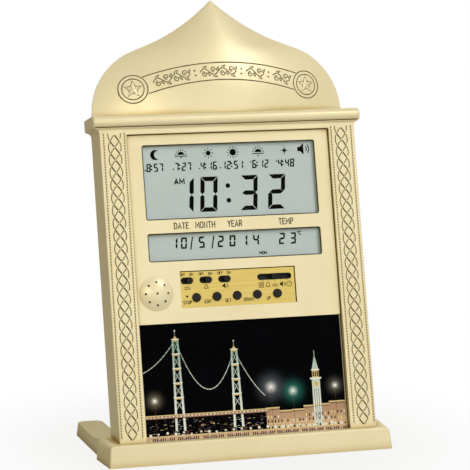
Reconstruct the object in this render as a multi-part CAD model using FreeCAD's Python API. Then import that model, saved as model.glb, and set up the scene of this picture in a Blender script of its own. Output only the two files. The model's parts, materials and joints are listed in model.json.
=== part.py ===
"""Table azan clock: an onion-domed case that leans back on a U-shaped stand.

Case pieces are drawn upright in the case's own frame: x to the right, y from the pillar faces into
the case, z up along the case. `lean_back` then tilts them onto the stand. The stand is drawn level,
with its front edge at y = 0. The origin is on the table, under the middle of the footprint.
All sizes are in millimetres.
"""
import FreeCAD
import Part
import math
import os

from FreeCAD import Placement, Rotation, Vector

# --- driving dimensions -------------------------------------------------------------------------
LEAN = 14.0                 # degrees that the case leans back
SEAT_Y = 8.8                # where the case's origin stands on the stand
SEAT_Z = 16.5

CASE_HALF_W = 91.0          # outer faces of the pillars
CASE_DEPTH = 24.0           # pillar face to rear edge
CASE_BOTTOM = -6.0          # the case's foot, sunk in the stand
WALL = 2.4                  # moulded wall
BASE_FACE = 2.0             # plane that the cornice and the dome grow from
FIT = 0.2                   # clearance between a piece and its seat
PAST = 1.0                  # how far a cutting shape runs past the face that it opens
ROOT = 0.5                  # how far a post or rib is sunk in the wall that carries it
NEAR = 0.01                 # two places this close are one

OPENING_HALF_W = 72.2       # between the pillars
OPENING_TOP = 205.8
OPENING_R = 1.0
PILLAR_EDGE_R = 0.8         # outer front edges of the pillars
SOFT_EDGE_R = 0.5           # round the opening, and along the panel's foot

CORNICE_HALF_W = 95.3
CORNICE_BOTTOM = 210.4
CORNICE_TOP = 219.5
CORNICE_END_R = 1.5
COVE_TOP = 210.7            # upper edge of the hollow moulding under the cornice
COVE_LIP = 0.3              # plumb edge at its top
FRONT_COVE_LOW, FRONT_COVE_OUT = 208.0, 1.2
SIDE_COVE_LOW, SIDE_COVE_OUT = 206.9, 3.0

DOME_HALF_W = 89.8
DOME_SPRING = 221.5         # the outline stands plumb up to here
SHOULDER_R = 48.0           # convex arc of the onion outline
OGEE_ANGLE = 18.0           # slope where the outline turns from convex to hollow, in degrees
DOME_TIP = 301.0
DOME_BULGE = 20.4           # how far the dome's middle stands in front of its rim
DOME_RIM = 1.6              # plumb edge all round the dome
DOME_ARC_STEPS = 6
DOME_ROOT = 3.0             # how far the dome reaches down into the cornice
DOME_WALL = 1.6             # at the middle of its front; the rim keeps WALL
DOME_TOP_HALF_W = 0.4       # last section, under the tip
DOME_HOLLOW_TOP = 6.0       # half-width of the hollow's last section
LEAST_BOW = 0.12
CORNICE_ROOF = 2.0          # thickness above the room in the cornice

PANEL_FACE = 2.4            # front panel's face, behind the pillar faces
PANEL_T = 2.2
PANEL_HALF_W = 79.0
PANEL_TOP = 209.0
PANEL_FOOT = 76.7           # lower edge of the plain panel, where the picture begins
SHADOW_GAP_W, SHADOW_GAP_DEPTH = 0.6, 1.2           # between the panel's face and the opening's walls

WINDOW_HALF_W = 61.8        # both LCD windows
WINDOW_R = 1.7
MAIN_WINDOW = (147.0, 198.4)
DATE_WINDOW = (118.5, 137.9)
LENS_T = 0.8
LENS_LAP_X, LENS_LAP_Z = 4.7, 5.0
LCD_GLASS_T = 1.3
LCD_MARGIN = 2.6            # glass beyond the window
LCD_LEDGE = 2.8             # contact ledge below the window
LCD_SEAL = 0.4              # rear glass below the window
LCD_SIDE = 3.7              # glass beyond the window at the sides
BOARD_T = 1.6
BOARD_FRONT = 11.4
MAIN_BOARD_HALF_W, MAIN_BOARD_Z, BOARD_R = 73.5, (114.0, 203.0), 2.0
CHIP_HALF_W, CHIP_T, CHIP_Z = 8.0, 2.0, 158.0
CRYSTAL_X, CRYSTAL_L, CRYSTAL_R = 14.0, 8.0, 1.5
THERMISTOR_X, THERMISTOR_Z, THERMISTOR_R = 50.0, 124.0, 1.4

LABEL_HALF_W = 41.0
LABEL_LOW, LABEL_HIGH = 86.6, 111.5
LABEL_POCKET = 1.0          # depth of the label's pocket in the panel
LABEL_T = 0.3

BUTTON_D = 6.0
BUTTON_X = [-30.1 + 14.4 * i for i in range(5)]
BUTTON_Z = 93.3
BUTTON_FACE, BUTTON_BACK = 1.6, 5.5
BUTTON_EDGE_R = 0.5
BUTTON_TRAVEL = 0.6
CONTROL_GAP = 0.15          # round a button, and behind a knob's head
FLANGE_D, FLANGE_T = 7.8, 0.8

SWITCH_X = (-36.1, -22.8, -9.5)
SWITCH_Z = 105.0
SWITCH_SLOT = (8.9, 4.7)    # length and height of an ON/OFF slot
SWITCH_TRAVEL = 4.0
MODE_X = 26.2
MODE_SLOT = (24.6, 4.3)
MODE_TRAVEL = 19.6
KNOB_W = 4.5
KNOB_FACE = 2.2
SWITCH_BODY_FRONT = 5.0
SWITCH_BODY_HALF_H = 2.9
SWITCH_BODY_END = 1.3       # wall at each end of a slide switch's channel
STEM_HALF_H, STEM_DEPTH = 1.0, 2.4
RIB_PITCH, RIB_SLOT_W, RIB_DEPTH = 1.0, 0.4, 0.35
TACT_W, TACT_PLUNGER_D, TACT_PLUNGER_L = 6.0, 3.4, 0.7
KEY_BOARD_FRONT = 9.6
KEY_BOARD_X, KEY_BOARD_Z = (-42.0, 46.0), (83.5, 112.0)
KEY_SCREWS = ((-38.0, 87.2), (42.0, 87.2), (3.4, 105.0))
LINK_X, LINK_T, LINK_LAP = (-16.0, -2.0), 0.8, 4.6
MAIN_SCREWS = ((-70.0, 118.0), (70.0, 118.0), (-70.0, 199.0), (70.0, 199.0))

GRILLE_X, GRILLE_Z = -58.2, 97.2
GRILLE_R, GRILLE_H, GRILLE_T = 12.0, 3.2, 1.6
GRILLE_HOLE_D = 1.5
GRILLE_RING_R = 7.8
GRILLE_RING_COUNT = 8
SPEAKER_R = 13.8
SPEAKER_BACK = 10.0
SPEAKER_COLLAR_T, SPEAKER_COLLAR_H = 1.2, 3.0
MAGNET_R, MAGNET_T = 7.0, 4.5
CONE_RIM_T = 0.3

PICTURE_HALF_W = 71.8
PICTURE_LOW, PICTURE_HIGH = -3.2, 76.4
PICTURE_FACE = 3.2
PICTURE_WINDOW_T, PICTURE_CARD_T = 1.2, 0.4
TRAY_T = 1.6
TRAY_LAP = 3.0              # how far the tray's back runs up behind the panel
PICTURE_LAP = 0.1           # lower edge of the panel, under PANEL_FOOT

COVER_T = 2.2
CASE_SCREWS = ((-84.0, 20.0), (84.0, 20.0), (-84.0, 110.0), (84.0, 110.0),
               (-84.0, 196.0), (84.0, 196.0), (0.0, 262.0))
PANEL_SCREWS = ((-75.4, 60.0), (75.4, 60.0), (-75.4, 188.0), (75.4, 188.0))
SCREW_D = 2.2
CASE_SCREW_L, PANEL_SCREW_L, BOARD_SCREW_L, KEY_SCREW_L = 9.0, 3.2, 6.0, 5.0
SCREW_HEAD_D, SCREW_HEAD_T = 4.8, 1.4
SCREW_SEAT = 22.4           # under the heads in the rear cover
WASHER_HEAD_D = 6.4
CROSS_L, CROSS_W, CROSS_DEPTH = 2.6, 0.6, 0.6       # a screw head's cross recess
SCREW_HOLE_L = 10.0
BOSS_D = 6.4
FOOT_BOSS_H = 11.0
POST_D = 5.0

CELL_D, CELL_L = 14.2, 49.2
CELL_CAP_D, CELL_CAP_L, CELL_EDGE_R = 5.4, 1.0, 0.8
CELL_Z = (28.0, 44.0)
TUB_HALF_W = 28.0
TUB_LOW, TUB_HIGH = 19.5, 52.5
TUB_FRONT, TUB_T = 6.8, 1.2
CELL_Y = TUB_FRONT + TUB_T + CELL_D / 2
CONTACT_T = 0.5
CONTACT_HALF_W = 5.0
CONTACT_X = TUB_HALF_W - TUB_T - CONTACT_T
SPRING_TURNS, SPRING_WIRE_D, SPRING_R = 3, 0.7, 3.6
DOOR_T = 1.4
DOOR_LAP = 2.6              # how far the door laps over the cover round the tub
DOOR_TAB = (1.0, 0.6, 6.0)  # how far a tab stands out, its thickness and its length
DOOR_TRAVEL = 12.0
DOOR_PAD = 1.4              # extra thickness of the cover round the door
DOOR_PAD_LAP = 3.0          # how far that goes beyond the door
RIDGE_HALF_W, RIDGE_PITCH, RIDGE_COUNT, RIDGE_DEPTH = 7.0, 2.0, 4, 0.5

JACK_X, JACK_Z = 60.0, 32.0
JACK_R, JACK_BORE_R, JACK_PIN_R = 4.2, 3.0, 1.0
JACK_HALF_W, JACK_HALF_H, JACK_FRONT = 4.6, 5.4, 12.0
JACK_WALL = 1.6
CAGE_T = 1.4                # the cover's walls round the jack

HANGER_Z = 188.0            # centre of the keyhole's head hole
HANGER_HEAD_R, HANGER_SLOT_W, HANGER_RISE = 4.5, 4.4, 9.0
VENT_PITCH, VENT_COUNT, VENT_SLOT = 5.0, 5, (18.0, 2.0)

BAR_H = 14.4                # the stand's front bar
BAR_DEPTH = 28.6
BAR_HALF_FRONT, BAR_HALF_REAR = 100.0, 102.2
BAR_DRAFT = 1.5             # how far the bar's ends draw in from foot to top
BAR_END_R, BAR_LIP_R = 3.6, 1.4
LEG_OUTER, LEG_INNER = 99.0, 79.5
LEG_REAR = 106.0
LEG_H = 8.8
LEG_DRAFT = 1.4
LEG_CORNER_R = 6.0
LEG_ROOT_Y = 14.0           # where a leg starts inside the bar
LEG_RAMP = ((56.0, 0.6), (40.0, 2.4))               # (y, height above the leg) where it starts to climb
LEG_TOP_DROP = 0.6          # how far the ramp stays below the bar's top
SEAT_GAP = 0.15
STAND_WALL = 2.4
STAND_CELLS = ((1.2, 26.0), (28.4, 52.0), (68.0, 80.0))     # hollows under the bar, from rib to rib
LEG_CELLS = ((33.0, 60.0), (62.4, 88.0))
STAND_CELL_FRONT, STAND_CELL_H = 6.0, 10.0
STAND_SCREW_X, STAND_SCREW_Y, STAND_SCREW_L = 60.0, 14.0, 9.0
STAND_SCREW_SEAT = 3.4      # from the case's foot down to the screw's head
ACCESS_L = 30.0
PAD_D, PAD_T, PAD_PROUD = 9.0, 1.6, 0.6
PAD_X = 89.5
PAD_Y = (12.0, 97.0)

FOOT_MIDDLE = LEG_REAR / 2
PANEL_BACK = PANEL_FACE + PANEL_T
LENS_BACK = PANEL_BACK + LENS_T
COVER_FRONT = CASE_DEPTH - COVER_T
ACROSS = Vector(1, 0, 0)
DEPTHWISE = Vector(0, 1, 0)
UPRIGHT = Vector(0, 0, 1)


# --- helpers ------------------------------------------------------------------------------------
def block(x0, x1, y0, y1, z0, z1):
    return Part.makeBox(x1 - x0, y1 - y0, z1 - z0, Vector(x0, y0, z0))


def straight_edges(shape, direction):
    """The straight edges of a shape that run along a direction."""
    found = []
    for edge in shape.Edges:
        if isinstance(edge.Curve, Part.Line):
            if abs(edge.Curve.Direction.dot(direction)) > 0.999999:
                found.append(edge)
    return found


def rounded_block(x0, x1, y0, y1, z0, z1, radius):
    """A block whose four edges along y are rounded."""
    shape = block(x0, x1, y0, y1, z0, z1)
    return shape.makeFillet(radius, straight_edges(shape, DEPTHWISE))


def rod(x, z, radius, y0, y1):
    """A cylinder along y."""
    return Part.makeCylinder(radius, y1 - y0, Vector(x, y0, z), DEPTHWISE)


def rods(places, radius, y0, y1):
    return [rod(x, z, radius, y0, y1) for x, z in places]


def slot_bar(x, z, size, y0, y1):
    """A round-ended bar along x, from y0 to y1."""
    length, height = size
    reach = (length - height) / 2
    middle = block(x - reach, x + reach, y0, y1, z - height / 2, z + height / 2)
    ends = rods(((x - reach, z), (x + reach, z)), height / 2, y0, y1)
    return fuse_all([middle] + ends)


def outline_face(points):
    """A face from a closed outline. An item is a point, or an arc as (middle, end)."""
    edges = []
    here = points[0]
    for item in points[1:] + [points[0]]:
        if isinstance(item, tuple):
            edges.append(Part.Arc(here, item[0], item[1]).toShape())
            here = item[1]
        elif (item - here).Length > 1e-6:
            edges.append(Part.LineSegment(here, item).toShape())
            here = item
    return Part.Face(Part.Wire(edges))


def fuse_all(shapes):
    return shapes[0].multiFuse(shapes[1:]).removeSplitter()


def both_sides(shapes):
    """The shapes and their mirror images across the middle plane."""
    mirrored = [shape.mirror(Vector(0, 0, 0), ACROSS) for shape in shapes]
    return shapes + mirrored


def move(shape, placement):
    moved = shape.copy()
    moved.Placement = placement.multiply(moved.Placement)
    return moved


def lean_back(shape):
    """From the case's frame to the clock's."""
    tilt = Rotation(ACROSS, -LEAN)
    return move(shape, Placement(Vector(0, SEAT_Y - FOOT_MIDDLE, SEAT_Z + PAD_PROUD), tilt))


def stand_up(shape):
    """From the stand's frame to the clock's."""
    return move(shape, Placement(Vector(0, -FOOT_MIDDLE, PAD_PROUD), Rotation()))


def seat_on_stand(shape):
    """From the case's frame to the stand's."""
    return move(shape, Placement(Vector(0, SEAT_Y, SEAT_Z), Rotation(ACROSS, -LEAN)))


# --- onion outline ------------------------------------------------------------------------------
class Onion:
    """The dome's outline: a convex shoulder arc that turns into a hollow arc up to the tip."""

    def __init__(self, inset):
        lean = math.radians(OGEE_ANGLE)
        outward = (math.sin(lean), math.cos(lean))
        self.shoulder = (DOME_HALF_W - SHOULDER_R, DOME_SPRING)
        turn = (self.shoulder[0] + SHOULDER_R * outward[0], self.shoulder[1] + SHOULDER_R * outward[1])
        to_tip = (-turn[0], DOME_TIP - turn[1])
        along = to_tip[0] * outward[0] + to_tip[1] * outward[1]
        hollow_r = (to_tip[0] ** 2 + to_tip[1] ** 2) / (2 * along)
        self.hollow = (turn[0] + hollow_r * outward[0], turn[1] + hollow_r * outward[1])
        self.shoulder_r = SHOULDER_R - inset
        self.hollow_r = hollow_r + inset
        self.turn_z = self.shoulder[1] + self.shoulder_r * outward[1]
        self.tip_z = self.hollow[1] - math.sqrt(self.hollow_r ** 2 - self.hollow[0] ** 2)

    def half_width(self, z):
        if z <= self.shoulder[1]:
            return self.shoulder[0] + self.shoulder_r
        if z <= self.turn_z:
            return self.shoulder[0] + math.sqrt(self.shoulder_r ** 2 - (z - self.shoulder[1]) ** 2)
        return self.hollow[0] - math.sqrt(self.hollow_r ** 2 - (self.hollow[1] - z) ** 2)

    def heights(self, start, stop_half_w):
        """Section heights along the shoulder arc, then up the hollow arc to a last half-width."""
        found = [start]
        for i in range(DOME_ARC_STEPS):
            angle = math.radians(90 - (90 - OGEE_ANGLE) * i / DOME_ARC_STEPS)
            found.append(self.shoulder[1] + self.shoulder_r * math.cos(angle))
        last = self.hollow[1] - math.sqrt(self.hollow_r ** 2 - (self.hollow[0] - stop_half_w) ** 2)
        for i in range(DOME_ARC_STEPS + 1):
            found.append(self.turn_z + (last - self.turn_z) * i / DOME_ARC_STEPS)
        return found

    def section_points(self, y, start):
        """The outline as (x, z) points and arcs, from bottom right round to bottom left."""
        right = self.half_width(start)
        half_arc = math.radians((90 + OGEE_ANGLE) / 2)
        shoulder_mid = (self.shoulder[0] + self.shoulder_r * math.sin(half_arc),
                        self.shoulder[1] + self.shoulder_r * math.cos(half_arc))
        turn = (self.half_width(self.turn_z), self.turn_z)
        mid_z = (self.turn_z + self.tip_z) / 2
        hollow_mid = (self.half_width(mid_z), mid_z)

        def at(point, side=1):
            return Vector(side * point[0], y, point[1])

        return [at((right, start)), at((right, self.shoulder[1])),
                (at(shoulder_mid), at(turn)), (at(hollow_mid), at((0, self.tip_z))),
                (at(hollow_mid, -1), at(turn, -1)),
                (at(shoulder_mid, -1), at((right, self.shoulder[1]), -1)),
                at((right, start), -1)]


def dome_bulge(z):
    rise = max(0.0, z - CORNICE_TOP) / (DOME_TIP - CORNICE_TOP)
    return DOME_BULGE * (1 - rise ** 2)


def pillow(onion, start, stop_half_w, rim_y, thinner, back_y):
    """The dome as a loft of level sections: a bowed front, plumb edges and a flat back."""
    sections = []
    for z in onion.heights(start, stop_half_w):
        half_w = onion.half_width(z)
        bow = max(dome_bulge(z) - thinner, LEAST_BOW)
        left, right = Vector(-half_w, rim_y, z), Vector(half_w, rim_y, z)
        edges = [Part.Arc(left, Vector(0, rim_y - bow, z), right).toShape(),
                 Part.makeLine(right, Vector(half_w, back_y, z)),
                 Part.makeLine(Vector(half_w, back_y, z), Vector(-half_w, back_y, z)),
                 Part.makeLine(Vector(-half_w, back_y, z), left)]
        sections.append(Part.Wire(edges))
    return Part.makeLoft(sections, True, False)


# --- case ---------------------------------------------------------------------------------------
def cove(foot, out, low, across):
    """The half of a hollow moulding's outline beside a wall at foot; across turns (side, z) into points."""
    spring = COVE_TOP - COVE_LIP
    hollow = across(foot + out * (1 - math.sqrt(0.5)), low + (spring - low) * math.sqrt(0.5))
    return [across(foot, SIDE_COVE_LOW), across(foot, low), (hollow, across(foot + out, spring)),
            across(foot + out, COVE_TOP)]


def cornice():
    """A bar with a half-round front and softened ends, over a hollow moulding round both corners."""
    left = -CORNICE_HALF_W
    nose = BASE_FACE - (CORNICE_TOP - CORNICE_BOTTOM) / 2
    profile = outline_face([
        Vector(left, CASE_DEPTH, CORNICE_BOTTOM), Vector(left, BASE_FACE, CORNICE_BOTTOM),
        (Vector(left, nose, (CORNICE_TOP + CORNICE_BOTTOM) / 2), Vector(left, BASE_FACE, CORNICE_TOP)),
        Vector(left, CASE_DEPTH, CORNICE_TOP)])
    bar = profile.extrude(Vector(2 * CORNICE_HALF_W, 0, 0))
    bar = bar.makeFillet(CORNICE_END_R, [e for e in bar.Edges if e.BoundBox.XLength < NEAR
                                         and e.BoundBox.YMin < CASE_DEPTH - NEAR])
    front = outline_face(cove(0, FRONT_COVE_OUT, FRONT_COVE_LOW, lambda y, z: Vector(left, -y, z))
                         + [Vector(left, CASE_DEPTH, COVE_TOP), Vector(left, CASE_DEPTH, SIDE_COVE_LOW)])
    half = outline_face([Vector(0, -FRONT_COVE_OUT, SIDE_COVE_LOW)]
                        + cove(CASE_HALF_W, SIDE_COVE_OUT, SIDE_COVE_LOW,
                               lambda x, z: Vector(x, -FRONT_COVE_OUT, z))
                        + [Vector(0, -FRONT_COVE_OUT, COVE_TOP)])
    sides = fuse_all(both_sides([half.extrude(Vector(0, FRONT_COVE_OUT + CASE_DEPTH, 0))]))
    moulding = front.extrude(Vector(2 * CORNICE_HALF_W, 0, 0)).common(sides)
    return fuse_all([bar, moulding])


def case_hollow():
    """The room inside the case, open at the back."""
    inner = CASE_HALF_W - WALL
    floor = CASE_BOTTOM + WALL
    back = CASE_DEPTH + PAST
    low = block(-inner, inner, WALL, back, floor, CORNICE_BOTTOM)
    high = block(-inner, inner, BASE_FACE + WALL, back, CORNICE_BOTTOM - PAST, CORNICE_TOP - CORNICE_ROOF)
    onion = Onion(WALL)
    rim_y = CASE_DEPTH - DOME_RIM + DOME_RIM / 2
    dome = pillow(onion, CORNICE_TOP - DOME_ROOT, DOME_HOLLOW_TOP, rim_y, DOME_WALL, back)
    return fuse_all([low, high, dome])


def cover_outline(inset, y0, y1):
    """The shape of the rear opening, pushed from y0 to y1."""
    inner = CASE_HALF_W - WALL - inset
    low = CASE_BOTTOM + WALL + inset
    step = CORNICE_TOP - CORNICE_ROOF - inset
    rounded = Onion(WALL + inset).section_points(y0, step)
    points = [Vector(-inner, y0, low), Vector(inner, y0, low), Vector(inner, y0, step)] + rounded
    points.append(Vector(-inner, y0, step))
    return outline_face(points).extrude(Vector(0, y1 - y0, 0))


def shaft():
    """The box that becomes the pillars and the lintel, with softened outer front edges."""
    shape = block(-CASE_HALF_W, CASE_HALF_W, 0, CASE_DEPTH, CASE_BOTTOM, CORNICE_BOTTOM)
    corners = [edge for edge in straight_edges(shape, UPRIGHT) if edge.CenterOfMass.y < NEAR]
    return shape.makeFillet(PILLAR_EDGE_R, corners)


def with_opening(shell):
    """The shell with the opening between its pillars, whose rim is softened."""
    low = CASE_BOTTOM + WALL
    cutter = rounded_block(-OPENING_HALF_W, OPENING_HALF_W, -PAST, WALL + PAST, low, OPENING_TOP, OPENING_R)
    opened = shell.cut(cutter)
    rim = []
    for edge in opened.Edges:
        box = edge.BoundBox
        within = max(-box.XMin, box.XMax) < OPENING_HALF_W + NEAR and low - NEAR < box.ZMin
        if within and box.ZMax < OPENING_TOP + NEAR and -NEAR < box.YMin and box.YMax < NEAR:
            rim.append(edge)
    return opened.makeFillet(SOFT_EDGE_R, rim)


def case_surround():
    """Pillars, lintel, cornice and dome in one moulding, with screw bosses behind."""
    dome = pillow(Onion(0), CORNICE_TOP - DOME_ROOT, DOME_TOP_HALF_W, CASE_DEPTH - DOME_RIM, 0, CASE_DEPTH)
    outer = fuse_all([shaft(), cornice(), dome])
    shell = outer.cut([case_hollow(), cover_outline(0, COVER_FRONT, CASE_DEPTH + PAST)])
    shell = with_opening(shell)
    bosses = []
    for x, z in CASE_SCREWS:
        start = WALL if z < CORNICE_TOP else CASE_DEPTH - DOME_RIM - dome_bulge(z) + WALL / 2
        bosses.append(rod(x, z, BOSS_D / 2, start, COVER_FRONT))
    posts = rods(PANEL_SCREWS, POST_D / 2, WALL - ROOT, PANEL_BACK)
    feet = [Part.makeCylinder(BOSS_D / 2, FOOT_BOSS_H, Vector(x, STAND_SCREW_Y, CASE_BOTTOM + WALL / 2))
            for x in (-STAND_SCREW_X, STAND_SCREW_X)]
    shell = fuse_all([shell] + bosses + posts + feet)
    holes = rods(CASE_SCREWS, SCREW_D / 2, COVER_FRONT - SCREW_HOLE_L, CASE_DEPTH)
    holes += rods(PANEL_SCREWS, SCREW_D / 2, WALL / 2, PANEL_BACK + PAST)
    holes += [Part.makeCylinder(SCREW_D / 2, SCREW_HOLE_L, Vector(x, STAND_SCREW_Y, CASE_BOTTOM - PAST))
              for x in (-STAND_SCREW_X, STAND_SCREW_X)]
    return shell.cut(holes)


# --- front panel --------------------------------------------------------------------------------
def window_cut(window):
    low, high = window
    return rounded_block(-WINDOW_HALF_W, WINDOW_HALF_W, 0, PANEL_BACK + PAST, low, high, WINDOW_R)


def speaker_dome():
    """Outer cap, inner cap and the holes of the speaker grille."""
    sphere_r = (GRILLE_R ** 2 + GRILLE_H ** 2) / (2 * GRILLE_H)
    centre = Vector(GRILLE_X, PANEL_FACE - GRILLE_H + sphere_r, GRILLE_Z)
    front = PANEL_FACE - GRILLE_H - PAST
    outer = Part.makeSphere(sphere_r, centre)
    outer = outer.common(rod(GRILLE_X, GRILLE_Z, sphere_r, front, PANEL_FACE + ROOT))
    inner = Part.makeSphere(sphere_r - GRILLE_T, centre)
    inner = inner.common(rod(GRILLE_X, GRILLE_Z, sphere_r, front, PANEL_BACK + PAST))
    places = [(GRILLE_X, GRILLE_Z)]
    for i in range(GRILLE_RING_COUNT):
        angle = 2 * math.pi * i / GRILLE_RING_COUNT
        across, up = GRILLE_RING_R * math.sin(angle), GRILLE_RING_R * math.cos(angle)
        places.append((GRILLE_X + across, GRILLE_Z + up))
    return outer, inner, rods(places, GRILLE_HOLE_D / 2, front, PANEL_BACK + PAST)


def control_cuts():
    """Holes for the five buttons, the three ON/OFF slides and the mode slide."""
    back = PANEL_BACK + PAST
    cuts = rods([(x, BUTTON_Z) for x in BUTTON_X], BUTTON_D / 2 + CONTROL_GAP, 0, back)
    cuts += [slot_bar(x, SWITCH_Z, SWITCH_SLOT, 0, back) for x in SWITCH_X]
    cuts.append(slot_bar(MODE_X, SWITCH_Z, MODE_SLOT, 0, back))
    return cuts


def panel_plate():
    """The plain panel; its lower front edge is softened."""
    plate = block(-PANEL_HALF_W, PANEL_HALF_W, PANEL_FACE, PANEL_BACK, PANEL_FOOT - PICTURE_LAP, PANEL_TOP)
    foot = [edge for edge in straight_edges(plate, ACROSS)
            if edge.CenterOfMass.y < PANEL_FACE + NEAR and edge.CenterOfMass.z < PANEL_FOOT]
    return plate.makeFillet(SOFT_EDGE_R, foot)


def shadow_gap():
    """The groove that parts the panel's face from the walls of the opening."""
    floor = PANEL_FACE + SHADOW_GAP_DEPTH
    half_w = OPENING_HALF_W - SHADOW_GAP_W
    outer = rounded_block(-OPENING_HALF_W, OPENING_HALF_W, 0, floor, 0, OPENING_TOP, OPENING_R)
    field = rounded_block(-half_w, half_w, 0, floor, 0, OPENING_TOP - SHADOW_GAP_W, OPENING_R - SHADOW_GAP_W)
    below = block(-OPENING_HALF_W, OPENING_HALF_W, 0, floor, 0, PANEL_FOOT - PICTURE_LAP)
    return outer.cut([field, below])


def front_panel():
    """Plain panel with the windows, controls and speaker dome, and the picture tray below it."""
    tray_low = CASE_BOTTOM + WALL + FIT
    tray_back = PICTURE_FACE + PICTURE_WINDOW_T + PICTURE_CARD_T + TRAY_T
    tray = block(-PANEL_HALF_W, PANEL_HALF_W, PANEL_FACE, tray_back, tray_low, PANEL_FOOT + TRAY_LAP)
    pocket = block(-PICTURE_HALF_W - FIT, PICTURE_HALF_W + FIT, PANEL_FACE, tray_back - TRAY_T,
                   tray_low, PANEL_FOOT - PICTURE_LAP)
    outer_cap, inner_cap, grille_holes = speaker_dome()
    collar_back = PANEL_BACK + SPEAKER_COLLAR_H
    collar = rod(GRILLE_X, GRILLE_Z, SPEAKER_R + SPEAKER_COLLAR_T, PANEL_BACK - ROOT, collar_back)
    collar_bore = rod(GRILLE_X, GRILLE_Z, SPEAKER_R + FIT / 2, PANEL_BACK, collar_back + PAST)
    posts = rods(MAIN_SCREWS, POST_D / 2, PANEL_BACK - ROOT, BOARD_FRONT)
    posts += rods(KEY_SCREWS, POST_D / 2, PANEL_BACK - ROOT, KEY_BOARD_FRONT)
    panel = fuse_all([panel_plate(), tray.cut(pocket), outer_cap, collar.cut(collar_bore)] + posts)
    gap = FIT / 2
    label_pocket = block(-LABEL_HALF_W - gap, LABEL_HALF_W + gap, 0, PANEL_FACE + LABEL_POCKET,
                         LABEL_LOW - gap, LABEL_HIGH + gap)
    cuts = [window_cut(MAIN_WINDOW), window_cut(DATE_WINDOW), label_pocket, inner_cap, shadow_gap()]
    cuts += control_cuts() + grille_holes
    cuts += rods(MAIN_SCREWS, SCREW_D / 2, PANEL_BACK, BOARD_FRONT + PAST)
    cuts += rods(KEY_SCREWS, SCREW_D / 2, PANEL_BACK + ROOT, KEY_BOARD_FRONT + PAST)
    cuts += rods(PANEL_SCREWS, POST_D / 2 + gap, 0, PANEL_BACK)
    cuts += rods(PANEL_SCREWS, WASHER_HEAD_D / 2 + FIT, PANEL_BACK, tray_back + PAST)
    return panel.cut(cuts)


def control_label():
    """Thin metal plate that names the controls."""
    front = PANEL_FACE + LABEL_POCKET - LABEL_T
    plate = block(-LABEL_HALF_W, LABEL_HALF_W, front, front + LABEL_T, LABEL_LOW, LABEL_HIGH)
    return plate.cut(control_cuts())


def push_button(x):
    """A round cap with a flange that keeps it in the panel."""
    cap = rod(x, BUTTON_Z, BUTTON_D / 2, BUTTON_FACE, BUTTON_BACK)
    front_rim = [e for e in cap.Edges if e.BoundBox.YMax < BUTTON_BACK - PAST and e.Closed]
    cap = cap.makeFillet(BUTTON_EDGE_R, front_rim)
    return cap.fuse(rod(x, BUTTON_Z, FLANGE_D / 2, BUTTON_BACK - FLANGE_T, BUTTON_BACK))


def key_switches():
    """A tact switch behind each button, its plunger a travel away from the cap."""
    found = []
    tip = BUTTON_BACK + BUTTON_TRAVEL + FIT / 2
    front = tip + TACT_PLUNGER_L
    half = TACT_W / 2
    for x in BUTTON_X:
        body = block(x - half, x + half, front, KEY_BOARD_FRONT, BUTTON_Z - half, BUTTON_Z + half)
        found.append(body.fuse(rod(x, BUTTON_Z, TACT_PLUNGER_D / 2, tip, front)))
    return Part.makeCompound(found)


def slide_body(x, travel):
    """A slide switch's housing with the channel that its knob's stem runs in."""
    half = (travel + KNOB_W) / 2
    front, back = SWITCH_BODY_FRONT, KEY_BOARD_FRONT
    body = block(x - half - SWITCH_BODY_END, x + half + SWITCH_BODY_END, front, back,
                 SWITCH_Z - SWITCH_BODY_HALF_H, SWITCH_Z + SWITCH_BODY_HALF_H)
    channel_half = STEM_HALF_H + FIT
    channel = block(x - half - FIT / 2, x + half + FIT / 2, front - PAST, front + STEM_DEPTH + FIT,
                    SWITCH_Z - channel_half, SWITCH_Z + channel_half)
    return body.cut(channel)


def slide_knob(x, slot_height):
    """A ribbed knob on a stem; the stem runs in the switch housing."""
    half = KNOB_W / 2
    head_half = slot_height / 2 - FIT
    neck = SWITCH_BODY_FRONT - CONTROL_GAP
    head = rounded_block(x - half, x + half, KNOB_FACE, neck, SWITCH_Z - head_half, SWITCH_Z + head_half,
                         head_half - FIT / 2)
    stem = block(x - half, x + half, neck - ROOT, SWITCH_BODY_FRONT + STEM_DEPTH,
                 SWITCH_Z - STEM_HALF_H, SWITCH_Z + STEM_HALF_H)
    slots = [block(rib - RIB_SLOT_W / 2, rib + RIB_SLOT_W / 2, 0, KNOB_FACE + RIB_DEPTH,
                   SWITCH_Z - slot_height, SWITCH_Z + slot_height)
             for rib in (x - RIB_PITCH, x, x + RIB_PITCH)]
    return head.fuse(stem).cut(slots)


# --- display ------------------------------------------------------------------------------------
def display_lens():
    half_w = WINDOW_HALF_W + LENS_LAP_X
    low, high = DATE_WINDOW[0] - LENS_LAP_Z, MAIN_WINDOW[1] + LENS_LAP_Z
    return rounded_block(-half_w, half_w, PANEL_BACK, LENS_BACK, low, high, WINDOW_R)


def lcd_cell(window):
    """Two glass plates; the front one has the contact ledge below the window."""
    low, high = window
    half_w = WINDOW_HALF_W + LCD_SIDE
    middle = LENS_BACK + LCD_GLASS_T
    front = block(-half_w, half_w, LENS_BACK, middle, low - LCD_LEDGE, high + LCD_MARGIN)
    rear = block(-half_w, half_w, middle, middle + LCD_GLASS_T, low - LCD_SEAL, high + LCD_MARGIN)
    return front.fuse(rear).removeSplitter()


def zebra_strip(window):
    """Elastomer that joins the LCD's ledge to the board."""
    low, high = window[0] - LCD_LEDGE + FIT, window[0] - 2 * LCD_SEAL
    return block(-WINDOW_HALF_W, WINDOW_HALF_W, LENS_BACK + LCD_GLASS_T, BOARD_FRONT, low, high)


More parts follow.
